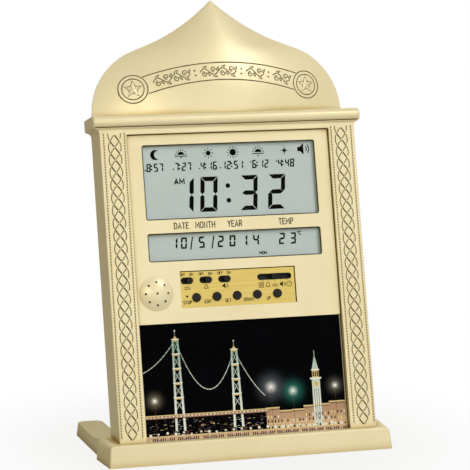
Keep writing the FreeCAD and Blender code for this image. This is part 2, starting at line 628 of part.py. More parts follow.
def light_guide(window):
    """Diffuser between an LCD and the board."""
    low, high = window
    front = LENS_BACK + 2 * LCD_GLASS_T
    half_w = WINDOW_HALF_W + LCD_SIDE - FIT
    return block(-half_w, half_w, front, BOARD_FRONT, low - LCD_SEAL, high + LCD_MARGIN)


def main_board():
    board = rounded_block(-MAIN_BOARD_HALF_W, MAIN_BOARD_HALF_W, BOARD_FRONT, BOARD_FRONT + BOARD_T,
                          *MAIN_BOARD_Z, BOARD_R)
    return board.cut(rods(MAIN_SCREWS, SCREW_D / 2 + FIT, 0, CASE_DEPTH))


def key_board():
    back = KEY_BOARD_FRONT + BOARD_T
    board = rounded_block(*KEY_BOARD_X, KEY_BOARD_FRONT, back, *KEY_BOARD_Z, BOARD_R)
    return board.cut(rods(KEY_SCREWS, SCREW_D / 2 + FIT, 0, CASE_DEPTH))


def board_link():
    """A flat cable that joins the key board to the main board."""
    key_back, main_back = KEY_BOARD_FRONT + BOARD_T, BOARD_FRONT + BOARD_T
    foot, head = KEY_BOARD_Z[1] - LINK_LAP, MAIN_BOARD_Z[0] + LINK_LAP
    bends = [(key_back, foot + LINK_LAP / 2), (main_back, head - LINK_LAP)]
    outer = [(y + LINK_T, z - LINK_T / 2) for y, z in reversed(bends)]
    outline = [(key_back, foot)] + bends + [(main_back, head), (main_back + LINK_T, head)] + outer
    outline.append((key_back + LINK_T, foot))
    face = outline_face([Vector(LINK_X[0], y, z) for y, z in outline])
    return face.extrude(Vector(LINK_X[1] - LINK_X[0], 0, 0))


def clock_chip():
    back = BOARD_FRONT + BOARD_T
    return block(-CHIP_HALF_W, CHIP_HALF_W, back, back + CHIP_T, CHIP_Z - CHIP_HALF_W, CHIP_Z + CHIP_HALF_W)


def quartz_crystal():
    """A watch crystal in its can, lying on the board."""
    start = Vector(CRYSTAL_X, BOARD_FRONT + BOARD_T + CRYSTAL_R, CHIP_Z)
    return Part.makeCylinder(CRYSTAL_R, CRYSTAL_L, start, ACROSS)


def temperature_sensor():
    """Thermistor bead on the board."""
    back = BOARD_FRONT + BOARD_T
    return Part.makeSphere(THERMISTOR_R, Vector(THERMISTOR_X, back + THERMISTOR_R, THERMISTOR_Z))


# --- speaker ------------------------------------------------------------------------------------
def turned(profile, x, z):
    """A solid of revolution about the line along y through (x, z). The profile is (radius, y) pairs."""
    face = outline_face([Vector(x + radius, y, z) for radius, y in profile])
    return face.revolve(Vector(x, 0, z), DEPTHWISE, 360)


def speaker_frame():
    front, back = PANEL_BACK + CONE_RIM_T, SPEAKER_BACK
    return turned([(SPEAKER_R - 1.6, front), (SPEAKER_R, front), (SPEAKER_R, front + 1.5),
                   (7.5, back), (5.0, back), (5.0, back - 0.8)], GRILLE_X, GRILLE_Z)


def speaker_cone():
    """Paper cone with a dust cap; its rim lies on the frame's front."""
    front, back = PANEL_BACK, SPEAKER_BACK - 1.2
    return turned([(0, back - 1.6), (2.6, back - 1.2), (4.6, back - 0.5), (SPEAKER_R - 3.2, front),
                   (SPEAKER_R, front), (SPEAKER_R, front + CONE_RIM_T), (SPEAKER_R - 3.0, front + CONE_RIM_T),
                   (4.9, back), (0, back)], GRILLE_X, GRILLE_Z)


def speaker_magnet():
    return rod(GRILLE_X, GRILLE_Z, MAGNET_R, SPEAKER_BACK, SPEAKER_BACK + MAGNET_T)


# --- picture ------------------------------------------------------------------------------------
def picture_sheet(y0, y1):
    return block(-PICTURE_HALF_W, PICTURE_HALF_W, y0, y1, PICTURE_LOW, PICTURE_HIGH)


# --- rear ---------------------------------------------------------------------------------------
def door_half_w():
    return TUB_HALF_W - TUB_T + DOOR_LAP


def rear_cover():
    """Flat back with the battery tub, the door's recess, vents, the inlet's cage and a keyhole."""
    cover = cover_outline(FIT, COVER_FRONT, CASE_DEPTH)
    sunk = COVER_FRONT + ROOT
    tub = block(-TUB_HALF_W, TUB_HALF_W, TUB_FRONT, sunk, TUB_LOW, TUB_HIGH)
    half, low, high = door_half_w(), TUB_LOW + TUB_T - DOOR_LAP, TUB_HIGH - TUB_T + DOOR_LAP
    pad = block(-half - DOOR_PAD_LAP, half + DOOR_PAD_LAP, COVER_FRONT - DOOR_PAD, sunk,
                low - DOOR_TRAVEL - DOOR_PAD_LAP, high + DOOR_PAD_LAP)
    cage = block(JACK_X - JACK_HALF_W - CAGE_T, JACK_X + JACK_HALF_W + CAGE_T, JACK_FRONT + 2, sunk,
                 JACK_Z - JACK_HALF_H - CAGE_T, JACK_Z + JACK_HALF_H + CAGE_T)
    cover = fuse_all([cover, tub, pad, cage])
    behind = CASE_DEPTH + PAST
    room = block(-TUB_HALF_W + TUB_T, TUB_HALF_W - TUB_T, TUB_FRONT + TUB_T, behind,
                 TUB_LOW + TUB_T, TUB_HIGH - TUB_T)
    floor = CASE_DEPTH - FIT - DOOR_T - FIT / 2
    recess = block(-half - FIT, half + FIT, floor, behind, low - DOOR_TRAVEL - FIT, high + FIT)
    jack_room = block(JACK_X - JACK_HALF_W, JACK_X + JACK_HALF_W, 0, COVER_FRONT,
                      JACK_Z - JACK_HALF_H, JACK_Z + JACK_HALF_H)
    cuts = [room, recess, jack_room, rod(JACK_X, JACK_Z, JACK_R + FIT / 2, 0, behind)]
    reach = half + DOOR_TAB[0] + FIT
    for z in door_tabs():
        start = z - DOOR_TRAVEL - FIT
        lip = floor + DOOR_TAB[1] + FIT + FIT / 2
        cuts.append(block(-reach, reach, floor, lip, start, z + DOOR_TAB[2] + FIT))
        cuts.append(block(-reach, reach, floor, behind, start, start + DOOR_TAB[2] + 2 * FIT))
    cuts += rods(CASE_SCREWS, SCREW_D / 2 + FIT, 0, behind)
    cuts += rods(CASE_SCREWS, SCREW_HEAD_D / 2 + FIT, SCREW_SEAT, behind)
    cuts.append(rod(0, HANGER_Z, HANGER_HEAD_R, 0, behind))
    rise = HANGER_Z + HANGER_RISE
    cuts.append(block(-HANGER_SLOT_W / 2, HANGER_SLOT_W / 2, 0, behind, HANGER_Z, rise))
    cuts.append(rod(0, rise, HANGER_SLOT_W / 2, 0, behind))
    for i in range(VENT_COUNT):
        z = GRILLE_Z + (i - (VENT_COUNT - 1) / 2) * VENT_PITCH
        cuts.append(slot_bar(GRILLE_X, z, VENT_SLOT, 0, behind))
    return cover.cut(cuts)


def door_tabs():
    """Lower ends of the door's side tabs."""
    return (TUB_LOW + 2.6, TUB_HIGH - 8.0)


def battery_door():
    """A plate with two tabs a side, which slide under the cover's lips, and finger ridges."""
    half, low, high = door_half_w(), TUB_LOW + TUB_T - DOOR_LAP, TUB_HIGH - TUB_T + DOOR_LAP
    back = CASE_DEPTH - FIT
    plate = block(-half, half, back - DOOR_T, back, low, high)
    reach, tab_t, tab_l = half + DOOR_TAB[0], DOOR_TAB[1], DOOR_TAB[2]
    tabs = [block(-reach, reach, back - DOOR_T, back - DOOR_T + tab_t, z, z + tab_l) for z in door_tabs()]
    ridges = []
    for i in range(RIDGE_COUNT):
        foot = low + DOOR_PAD_LAP + (i + 1) * RIDGE_PITCH
        ridges.append(block(-RIDGE_HALF_W, RIDGE_HALF_W, back - RIDGE_DEPTH, CASE_DEPTH,
                            foot, foot + RIDGE_PITCH / 2))
    return fuse_all([plate] + tabs + ridges)


def battery_cell(z, points_to):
    """A cell along x, its raised cap on the contact at +x or -x."""
    start, length = CONTACT_X - CELL_L, CELL_L - CELL_CAP_L
    body = Part.makeCylinder(CELL_D / 2, length, Vector(start, CELL_Y, z), ACROSS)
    cap_root = Vector(start + length - ROOT, CELL_Y, z)
    cap = Part.makeCylinder(CELL_CAP_D / 2, CELL_CAP_L + ROOT, cap_root, ACROSS)
    cell = body.makeFillet(CELL_EDGE_R, [e for e in body.Edges if e.Closed]).fuse(cap)
    if points_to < 0:
        return cell.mirror(Vector(0, 0, 0), ACROSS)
    return cell


def coil_spring(turns, pitch, radius, wire_r):
    """A coil along z, of half turns that slope alternately and meet with one tangent."""
    halves = []
    rise = pitch / 2
    for i in range(2 * turns):
        side = 1 if i % 2 == 0 else -1
        centre = Vector(0, 0, (i + 0.5) * rise)
        start = Vector(side * radius, 0, i * rise)
        along = Vector(0, side, 0)
        wire = Part.Face(Part.Wire(Part.makeCircle(wire_r, start, along)))
        halves.append(wire.revolve(centre, (start - centre).cross(along), 180))
    return fuse_all(halves)


def battery_springs():
    """A coil at the flat end of each cell."""
    pitch = (2 * CONTACT_X - CELL_L - SPRING_WIRE_D) / SPRING_TURNS
    foot = CONTACT_X - SPRING_WIRE_D / 2
    found = []
    for z, side in zip(CELL_Z, (-1, 1)):
        coil = coil_spring(SPRING_TURNS, pitch, SPRING_R, SPRING_WIRE_D / 2)
        found.append(move(coil, Placement(Vector(side * foot, CELL_Y, z), Rotation(DEPTHWISE, -90 * side))))
    return Part.makeCompound(found)


def battery_contacts():
    """A plate at each end of the tub, which joins one cell's cap to the other's spring."""
    half = CELL_D / 2 - CONTACT_T
    low, high = CELL_Z[0] - half, CELL_Z[1] + half
    front, back = CELL_Y - CONTACT_HALF_W, CELL_Y + CONTACT_HALF_W
    plate = block(CONTACT_X, CONTACT_X + CONTACT_T, front, back, low, high)
    return Part.makeCompound(both_sides([plate]))


def dc_inlet():
    """A round jack with a centre pin, its nose in the cover's hole."""
    body = block(JACK_X - JACK_HALF_W, JACK_X + JACK_HALF_W, JACK_FRONT, COVER_FRONT,
                 JACK_Z - JACK_HALF_H, JACK_Z + JACK_HALF_H)
    nose = rod(JACK_X, JACK_Z, JACK_R, COVER_FRONT - ROOT, CASE_DEPTH - 2 * FIT)
    floor = JACK_FRONT + JACK_WALL
    jack = body.fuse(nose).cut(rod(JACK_X, JACK_Z, JACK_BORE_R, floor, CASE_DEPTH))
    return jack.fuse(rod(JACK_X, JACK_Z, JACK_PIN_R, floor - ROOT, COVER_FRONT - PAST)).removeSplitter()


# --- fasteners ----------------------------------------------------------------------------------
def pan_screws(places, seat, length, head_d=SCREW_HEAD_D):
    """Screws along y, heads behind the seat plane and shanks in front of it."""
    found = []
    for x, z in places:
        back = seat + SCREW_HEAD_T
        head = rod(x, z, head_d / 2, seat, back)
        floor = back - CROSS_DEPTH
        cross = [block(x - across / 2, x + across / 2, floor, back + PAST, z - up / 2, z + up / 2)
                 for across, up in ((CROSS_L, CROSS_W), (CROSS_W, CROSS_L))]
        found.append(head.fuse(rod(x, z, SCREW_D / 2, seat - length, seat)).removeSplitter().cut(cross))
    return Part.makeCompound(found)


# --- stand --------------------------------------------------------------------------------------
def bar_plan(z, y, draw_in):
    """The bar's outline at a height, from its front edge at y to its rear."""
    front, rear = BAR_HALF_FRONT - draw_in, BAR_HALF_REAR - draw_in
    corners = [(-front, y), (front, y), (rear, BAR_DEPTH), (-rear, BAR_DEPTH), (-front, y)]
    return Part.makePolygon([Vector(across, back, z) for across, back in corners])


def stand_bar():
    """The front bar: face parallel to the case, ends drawn in towards the top."""
    toe = BAR_H * math.tan(math.radians(LEAN))
    bar = Part.makeLoft([bar_plan(0, 0, 0), bar_plan(BAR_H, toe, BAR_DRAFT)], True, True)
    top = [e for e in bar.Edges if e.BoundBox.ZMin > BAR_H - NEAR]
    bar = bar.makeFillet(BAR_END_R, [e for e in top if e.BoundBox.YLength > BAR_DEPTH / 2])
    lip = [e for e in bar.Edges if e.BoundBox.ZMin > BAR_H - NEAR and e.BoundBox.YMax < toe + NEAR]
    return bar.makeFillet(BAR_LIP_R, lip)


def leg_plan(z, draw_in):
    """A leg's plan at a height: straight sides and a rounded rear end."""
    outer, inner, rear = LEG_OUTER - draw_in, LEG_INNER + draw_in, LEG_REAR - draw_in
    front, r = LEG_ROOT_Y, LEG_CORNER_R
    s = r * (1 - math.sqrt(0.5))
    face = outline_face([
        Vector(inner, front, z), Vector(outer, front, z), Vector(outer, rear - r, z),
        (Vector(outer - s, rear - s, z), Vector(outer - r, rear, z)), Vector(inner + r, rear, z),
        (Vector(inner + s, rear - s, z), Vector(inner, rear - r, z))])
    return face.OuterWire


def stand_leg():
    """The right leg: low at the rear, sweeping up into the bar."""
    tapered = Part.makeLoft([leg_plan(0, 0), leg_plan(BAR_H, LEG_DRAFT)], True, True)
    x, front, rear = LEG_INNER - PAST, LEG_ROOT_Y - PAST, LEG_REAR + PAST
    (start, first), (middle, second) = LEG_RAMP
    top = BAR_H - LEG_TOP_DROP
    side = outline_face([
        Vector(x, front, -PAST), Vector(x, rear, -PAST), Vector(x, rear, LEG_H),
        Vector(x, start, LEG_H + first),
        (Vector(x, middle, LEG_H + second), Vector(x, BAR_DEPTH, top)), Vector(x, front, top)])
    return tapered.common(side.extrude(Vector(LEG_OUTER - LEG_INNER + 2 * PAST, 0, 0)))


def stand_base():
    """Bar and legs in one moulding, with the case's seat on top and ribbed hollows below."""
    stand = fuse_all([stand_bar()] + both_sides([stand_leg()]))
    seat_half = CASE_HALF_W + SEAT_GAP
    seat = block(-seat_half, seat_half, -SEAT_GAP, CASE_DEPTH + SEAT_GAP, CASE_BOTTOM, BAR_DEPTH)
    below = block(-CASE_HALF_W, CASE_HALF_W, -SEAT_Y, BAR_DEPTH, CASE_BOTTOM - STAND_WALL, BAR_DEPTH)
    cells = [block(x0, x1, STAND_CELL_FRONT, BAR_DEPTH - STAND_WALL, -PAST, STAND_CELL_H)
             for x0, x1 in STAND_CELLS]
    legs = [block(LEG_INNER + STAND_WALL, LEG_OUTER - STAND_WALL, y0, y1, -PAST, LEG_H - STAND_WALL)
            for y0, y1 in LEG_CELLS]
    hollows = [cell.cut(seat_on_stand(below)) for cell in both_sides(cells)] + both_sides(legs)
    pads = [Part.makeCylinder(PAD_D / 2, PAST + PAD_T - PAD_PROUD, Vector(x, y, -PAST))
            for x in (-PAD_X, PAD_X) for y in PAD_Y]
    access = stand_screw_shapes(SCREW_D / 2 + FIT, SCREW_HEAD_D / 2 + FIT, ACCESS_L)
    return stand.cut([seat_on_stand(seat)] + hollows + pads + access)


def stand_screw_shapes(shank_r, head_r, head_length):
    """Screws up through the bar into the case's foot; a long head makes the access hole."""
    found = []
    head_top = CASE_BOTTOM - STAND_SCREW_SEAT
    for x in (-STAND_SCREW_X, STAND_SCREW_X):
        shank = Part.makeCylinder(shank_r, STAND_SCREW_L, Vector(x, STAND_SCREW_Y, head_top))
        head = Part.makeCylinder(head_r, head_length, Vector(x, STAND_SCREW_Y, head_top - head_length))
        found.append(seat_on_stand(shank.fuse(head).removeSplitter()))
    return found


def rubber_pads():
    return Part.makeCompound([Part.makeCylinder(PAD_D / 2 - NEAR, PAD_T, Vector(x, y, -PAD_PROUD))
                              for x in (-PAD_X, PAD_X) for y in PAD_Y])


# --- assembly -----------------------------------------------------------------------------------
def case_pieces():
    window_back = PICTURE_FACE + PICTURE_WINDOW_T
    pieces = {
        "case_surround": case_surround(),
        "front_panel": front_panel(),
        "control_label": control_label(),
        "display_lens": display_lens(),
        "main_lcd": lcd_cell(MAIN_WINDOW),
        "date_lcd": lcd_cell(DATE_WINDOW),
        "main_zebra_strip": zebra_strip(MAIN_WINDOW),
        "date_zebra_strip": zebra_strip(DATE_WINDOW),
        "main_light_guide": light_guide(MAIN_WINDOW),
        "date_light_guide": light_guide(DATE_WINDOW),
        "main_board": main_board(),
        "key_board": key_board(),
        "board_link": board_link(),
        "clock_chip": clock_chip(),
        "quartz_crystal": quartz_crystal(),
        "temperature_sensor": temperature_sensor(),
        "key_switches": key_switches(),
        "slide_switch_bodies": Part.makeCompound([slide_body(x, SWITCH_TRAVEL) for x in SWITCH_X]),
        "mode_switch_body": slide_body(MODE_X, MODE_TRAVEL),
        "mode_knob": slide_knob(MODE_X, MODE_SLOT[1]),
        "speaker_frame": speaker_frame(),
        "speaker_cone": speaker_cone(),
        "speaker_magnet": speaker_magnet(),
        "picture_window": picture_sheet(PICTURE_FACE, window_back),
        "picture_card": picture_sheet(window_back, window_back + PICTURE_CARD_T),
        "rear_cover": rear_cover(),
        "battery_door": battery_door(),
        "battery_cell_1": battery_cell(CELL_Z[0], 1),
        "battery_cell_2": battery_cell(CELL_Z[1], -1),
        "battery_springs": battery_springs(),
        "battery_contacts": battery_contacts(),
        "dc_inlet": dc_inlet(),
        "case_screws": pan_screws(CASE_SCREWS, SCREW_SEAT, CASE_SCREW_L),
        "panel_screws": pan_screws(PANEL_SCREWS, PANEL_BACK, PANEL_SCREW_L, WASHER_HEAD_D),
        "board_screws": pan_screws(MAIN_SCREWS, BOARD_FRONT + BOARD_T, BOARD_SCREW_L),
        "key_board_screws": pan_screws(KEY_SCREWS, KEY_BOARD_FRONT + BOARD_T, KEY_SCREW_L),
    }
    for i, x in enumerate(BUTTON_X, 1):
        pieces[f"button_{i}"] = push_button(x)
    for i, x in enumerate(SWITCH_X, 1):
        pieces[f"switch_knob_{i}"] = slide_knob(x + SWITCH_TRAVEL / 2, SWITCH_SLOT[1])
    return pieces


def stand_pieces():
    return {
        "stand_base": stand_base(),
        "rubber_pads": rubber_pads(),
        "stand_screws": Part.makeCompound(stand_screw_shapes(SCREW_D / 2, SCREW_HEAD_D / 2, SCREW_HEAD_T)),
    }


def main():
    os.makedirs("parts", exist_ok=True)
    placed = {name: lean_back(shape) for name, shape in case_pieces().items()}
    placed.update({name: stand_up(shape) for name, shape in stand_pieces().items()})
    for name, shape in sorted(placed.items()):
        shape.exportStep(f"parts/{name}.step")
        print(f"{name}: solids {len(shape.Solids)}, cm3 {shape.Volume / 1000:.2f}, valid {shape.isValid()}")


main()
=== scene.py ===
"""Looks of the azan clock: finishes for its CAD pieces, and the printed, engraved and moulded detail.

Places are given in the case's own frame, in millimetres: x to the right, y into the case from the
pillar faces, z up along the leaning case. `case_point` turns them into the row frame, in metres.
"""

import json
import random
from math import copysign, cos, pi, radians, sin

import bpy
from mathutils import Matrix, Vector
from mathutils.bvhtree import BVHTree


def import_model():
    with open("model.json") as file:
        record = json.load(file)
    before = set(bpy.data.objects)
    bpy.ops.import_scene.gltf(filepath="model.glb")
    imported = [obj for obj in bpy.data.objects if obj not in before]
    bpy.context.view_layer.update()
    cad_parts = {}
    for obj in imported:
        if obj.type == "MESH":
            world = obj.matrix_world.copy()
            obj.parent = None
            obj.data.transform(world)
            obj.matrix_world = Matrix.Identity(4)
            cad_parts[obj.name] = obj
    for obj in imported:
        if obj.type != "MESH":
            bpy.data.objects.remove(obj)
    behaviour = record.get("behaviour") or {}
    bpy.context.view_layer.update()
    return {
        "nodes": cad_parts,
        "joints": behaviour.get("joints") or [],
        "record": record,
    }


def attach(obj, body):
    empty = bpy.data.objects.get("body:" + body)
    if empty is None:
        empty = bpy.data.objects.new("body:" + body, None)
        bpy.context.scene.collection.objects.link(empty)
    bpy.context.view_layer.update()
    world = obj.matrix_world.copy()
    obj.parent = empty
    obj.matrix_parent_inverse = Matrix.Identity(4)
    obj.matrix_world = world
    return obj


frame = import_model()

MM = 0.001
JOINTS = {joint["name"]: joint for joint in frame["joints"]}
ACROSS = Vector((1, 0, 0))
INTO = Vector(JOINTS["button_1_press"]["axis"])
UP = -Vector(JOINTS["battery_door_slide"]["axis"])

# --- places on the case, in millimetres ---
FIRST_BUTTON = Vector((-30.1, 1.6, 93.3))  # face of button 1, where its joint stands
BUTTON_PITCH = 14.4
SWITCH_X, SWITCH_Z = (-36.1, -22.8, -9.5), 105.0
MODE_X = 26.2
PANEL_FACE = 2.4
LABEL_FACE = 3.1
LCD_FACE = 5.37  # front of the sheet that the figures are printed on
CARD_FACE = 4.4
WINDOWS = ((147.0, 198.4), (118.5, 137.9))  # lower and upper edge of each LCD window
WINDOW_HALF_W, WINDOW_R = 61.8, 1.7


def case_vector(x, y, z):
    return (x * ACROSS + y * INTO + z * UP) * MM


CASE_ORIGIN = Vector(JOINTS["button_1_press"]["pos_m"]) - case_vector(*FIRST_BUTTON)


def case_point(x, y, z):
    return CASE_ORIGIN + case_vector(x, y, z)


def linear(*rgb):
    """A colour given as 0 to 255 on the screen, as Blender's linear values."""
    return [(c / 255 / 12.92) if c <= 10 else ((c / 255 + 0.055) / 1.055) ** 2.4 for c in rgb] + [1.0]


# --- materials ---
BLACK, WHITE = linear(0, 0, 0), linear(255, 255, 255)


class Nodes:
    """A node tree, with short ways to add to it."""

    def __init__(self, tree):
        self.tree = tree

    def feed(self, socket, value):
        """Gives a socket a constant or another node's output."""
        if isinstance(value, bpy.types.NodeSocket):
            self.tree.links.new(value, socket)
        else:
            socket.default_value = value

    def node(self, kind, *ordered, **named):
        """A node with its first inputs in order, and others by name."""
        made = self.tree.nodes.new("ShaderNode" + kind)
        for index, value in enumerate(ordered):
            self.feed(made.inputs[index], value)
        for key, value in named.items():
            self.feed(made.inputs[key.replace("_", " ")], value)
        return made

    def math(self, operation, first, second):
        made = self.node("Math", first, second)
        made.operation = operation
        return made.outputs["Value"]

    def measure(self, operation, vector, other=(0, 0, 0)):
        """A number worked out from one or two vectors."""
        made = self.node("VectorMath", vector, other)
        made.operation = operation
        return made.outputs["Value"]

    def between(self, value, low, high, start=0.0, stop=1.0, kind="LINEAR"):
        """Maps start..stop to low..high."""
        made = self.node("MapRange", value, start, stop, low, high)
        made.interpolation_type = kind
        return made.outputs["Result"]

    def seen_by_eye(self):
        """1 for rays from the camera, from gloss and through glass; 0 for the light that falls on things."""
        path = self.node("LightPath")
        total = path.outputs["Is Camera Ray"]
        for name in ("Is Glossy Ray", "Is Transmission Ray"):
            total = self.math("MAXIMUM", total, path.outputs[name])
        return total

    def surface(self, output, share, first, second):
        """Ends the tree in a mix of two shaders."""
        mixed = self.node("MixShader", share, first.outputs[0], second.outputs[0])
        self.feed(self.tree.nodes[output].inputs["Surface"], mixed.outputs["Shader"])


class Finish(Nodes):
    """A material; its textures are placed by object coordinates, in metres."""

    def __init__(self, name, roughness=0.5, metallic=0.0, specular=0.5):
        self.material = bpy.data.materials.new(name)
        self.material.use_nodes = True
        super().__init__(self.material.node_tree)
        self.shader = self.tree.nodes["Principled BSDF"]
        gloss = {"Roughness": roughness, "Metallic": metallic, "Specular IOR Level": specular}
        for key, value in gloss.items():
            self.shader.inputs[key].default_value = value
        self.place = self.node("TexCoord").outputs["Object"]

    def stretched(self, x, y, z):
        return self.node("Mapping", Vector=self.place, Scale=(x, y, z)).outputs["Vector"]

    def noise(self, size_mm, detail, place=None):
        """Noise whose blotches measure about size_mm."""
        made = self.node("TexNoise", Vector=place or self.place, Scale=1000 / size_mm, Detail=detail)
        return made.outputs["Fac"]

    def ramp(self, value, first, second):
        """A colour between two stops, each a position and a colour."""
        made = self.node("ValToRGB", Fac=value)
        for element, (position, colour) in zip(made.color_ramp.elements, (first, second)):
            element.position = position
            element.color = colour
        return made.outputs["Color"]

    def tones(self, value, dark, light):
        """Two close screen colours, mixed by a noise."""
        return self.ramp(value, (0.3, linear(*dark)), (0.7, linear(*light)))

    def mix(self, value, first, second, blend="MIX"):
        made = self.node("Mix")
        made.data_type = "RGBA"
        made.blend_type = blend
        for index, item in ((0, value), (6, first), (7, second)):
            self.feed(made.inputs[index], item)
        return made.outputs[2]

    def colour(self, socket):
        self.feed(self.shader.inputs["Base Color"], socket)

    def rough(self, value, low, high):
        self.feed(self.shader.inputs["Roughness"], self.between(value, low, high))

    def bump(self, *layers):
        """Bump from (height, depth in mm) layers, one on another."""
        normal = None
        for height, depth in layers:
            made = self.node("Bump", Height=height, Strength=1.0, Distance=depth * MM)
            if normal:
                self.feed(made.inputs["Normal"], normal)
            normal = made.outputs["Normal"]
        self.feed(self.shader.inputs["Normal"], normal)


def gold_lacquer(name, pale, deep, crevice_shade, grain_mm, roughness, metallic, reach_mm=7.0):
    """Champagne lacquer over moulded plastic: soft blotches and fine flakes, with painted shade that darkens
    it in corners and recesses.
    """
    finish = Finish(name, metallic=metallic, specular=0.0)
    flake = finish.between(finish.noise(0.35, 1), 0.0, 0.22)
    tone = finish.tones(finish.noise(38, 3), deep, pale)
    tone = finish.mix(flake, tone, linear(255, 244, 205), "SOFT_LIGHT")
    # painted shade: ambient occlusion darkens the colour in corners and recesses, down to a deep gold and, in
    # the deepest, a near-black brown; reach_mm is how far it reaches
    shade = finish.node("AmbientOcclusion", Distance=reach_mm * MM)
    shade.samples = 8
    corner = finish.ramp(shade.outputs["AO"], (0.20, linear(*crevice_shade)), (0.46, linear(182, 154, 78)))
    open_air = finish.ramp(shade.outputs["AO"], (0.44, BLACK), (0.90, WHITE))
    finish.colour(finish.mix(open_air, corner, tone))
    finish.rough(finish.noise(9, 2), roughness - 0.05, roughness + 0.07)
    finish.bump((finish.noise(grain_mm * 6, 1), 0.012), (finish.noise(grain_mm, 2), 0.006))
    return finish.material


def brushed_label():
    finish = Finish("gold_label", metallic=0.3)
    streak = finish.noise(3.0, 3, finish.stretched(0.12, 1, 6))
    cloud = finish.between(finish.noise(30, 2), 0.1, 0.4)
    tone = finish.tones(streak, (187, 161, 74), (211, 187, 98))
    finish.colour(finish.mix(cloud, tone, linear(208, 186, 104)))
    finish.rough(streak, 0.34, 0.46)
    finish.bump((streak, 0.004))
    return finish.material


def moulded(name, dark, light, grain_mm, roughness, depth=0.01, specular=0.5):
    """Moulded plastic, rubber or coated board: two close tones with a fine grain."""
    finish = Finish(name, specular=specular)
    grain = finish.noise(grain_mm, 2)
    cloud = finish.noise(grain_mm * 14, 3)
    finish.colour(finish.ramp(cloud, (0.35, linear(*dark)), (0.65, linear(*light))))
    finish.rough(grain, roughness - 0.06, roughness + 0.06)
    finish.bump((grain, depth))
    return finish.material


def brushed_metal(name, dark, light, roughness):
    finish = Finish(name, metallic=1.0)
    streak = finish.noise(1.4, 3, finish.stretched(0.3, 1, 5))
    finish.colour(finish.tones(streak, dark, light))
    finish.rough(finish.noise(2.5, 2), roughness - 0.08, roughness + 0.1)
    finish.bump((streak, 0.003))
    return finish.material


def clear_sheet(name, alpha, specular):
    """Clear acrylic with an anti-glare face: next to nothing of it shows but faint smears."""
    finish = Finish(name, specular=specular)
    smear = finish.noise(22, 3)
    finish.colour(finish.tones(smear, (20, 24, 24), (34, 40, 40)))
    finish.rough(smear, 0.03, 0.09)
    finish.shader.inputs["Alpha"].default_value = alpha
    finish.material.surface_render_method = "BLENDED"
    return finish.material


def lcd_glass():
    """Reflective LCD: an even grey-green with the faint mottle of its rear polariser."""
    finish = Finish("lcd", roughness=0.4, specular=0.15)
    mottle = finish.noise(0.5, 1)
    tone = finish.tones(finish.noise(45, 2), (198, 214, 220), (204, 220, 226))
    finish.colour(finish.mix(finish.between(mottle, 0.0, 0.12), tone, linear(164, 180, 186)))
    finish.bump((mottle, 0.001))
    return finish.material


def printed(name, dark, light, spot_mm=0.6):
    """Ink, and painted shade on grooves, bead gaps and window edges: two close tones, slightly uneven."""
    finish = Finish(name, roughness=0.7, specular=0.03)
    finish.colour(finish.tones(finish.noise(spot_mm, 2), dark, light))
    return finish.material


# lamps of the picture: x, z, reach of the glow, colour
LAMPS = ((34.0, 26.0, 14.0, linear(70, 170, 160)), (18.5, 29.5, 17.0, linear(130, 138, 156)),
         (-64.0, 25.0, 10.0, linear(170, 160, 142)), (64.5, 28.0, 10.0, linear(150, 146, 140)))


def night_sky():
    """The card's ground: black, with the glow of its lamps."""
    finish = Finish("picture_print", roughness=0.7, specular=0.02)
    tone = finish.ramp(finish.noise(16, 3), (0.3, linear(0, 0, 1)), (0.8, linear(3, 4, 7)))
    for x, z, reach, colour in LAMPS:
        away = finish.measure("DISTANCE", finish.place, case_point(x, CARD_FACE, z))
        for share, power, light in ((1.0, 3.2, colour), (0.3, 1.6, WHITE)):
            near = finish.between(away, 1, 0, 0, reach * share * MM)
            tone = finish.mix(finish.math("POWER", near, power), tone, light, "SCREEN")
    finish.colour(tone)
    return finish.material


# pale and deep tones of the lacquer, then the painted shade of its corners
GOLD_TONES_AND_SHADE = ((236, 225, 192), (229, 216, 181), (66, 50, 16))
GOLD = gold_lacquer("gold_case", *GOLD_TONES_AND_SHADE, 0.5, 0.33, 0.14)
STAND_GOLD = gold_lacquer("gold_stand", *GOLD_TONES_AND_SHADE, 0.5, 0.38, 0.12, 10)
INK = printed("lcd_ink", (3, 3, 4), (8, 9, 10))
# painted shade: a dark line inside the wall of each LCD window
WINDOW_SHADE_INK = printed("window_painted_shade", (58, 60, 50), (76, 78, 64), 1.5)
# painted shade: the dark cores of the engraved grooves, and fainter cores where a strand runs beneath
GROOVE_SHADE = printed("groove_painted_shade", (52, 48, 34), (74, 68, 50))
UNDER_STRAND_SHADE = printed("under_strand_painted_shade", (92, 86, 60), (116, 108, 80))
LEGEND = printed("legend_ink", (34, 24, 10), (54, 40, 20))
# painted shade: the dark gaps between the beads
BEAD_GAP_SHADE = printed("bead_gap_painted_shade", (80, 68, 38), (108, 94, 58), 1.2)

FINISHES = {
    "gold_case": GOLD,
    # the third colour is the painted shade of this cover's corners
    "gold_cover": gold_lacquer("gold_cover", (224, 210, 166), (216, 200, 156), (84, 68, 30), 0.8, 0.48, 0.05),
    "gold_label": brushed_label(),
    "lens": clear_sheet("lens", 0.03, 0.12),
    "picture_glass": clear_sheet("picture_glass", 0.02, 0.03),
    "picture_print": night_sky(),
    "lcd": lcd_glass(),
}
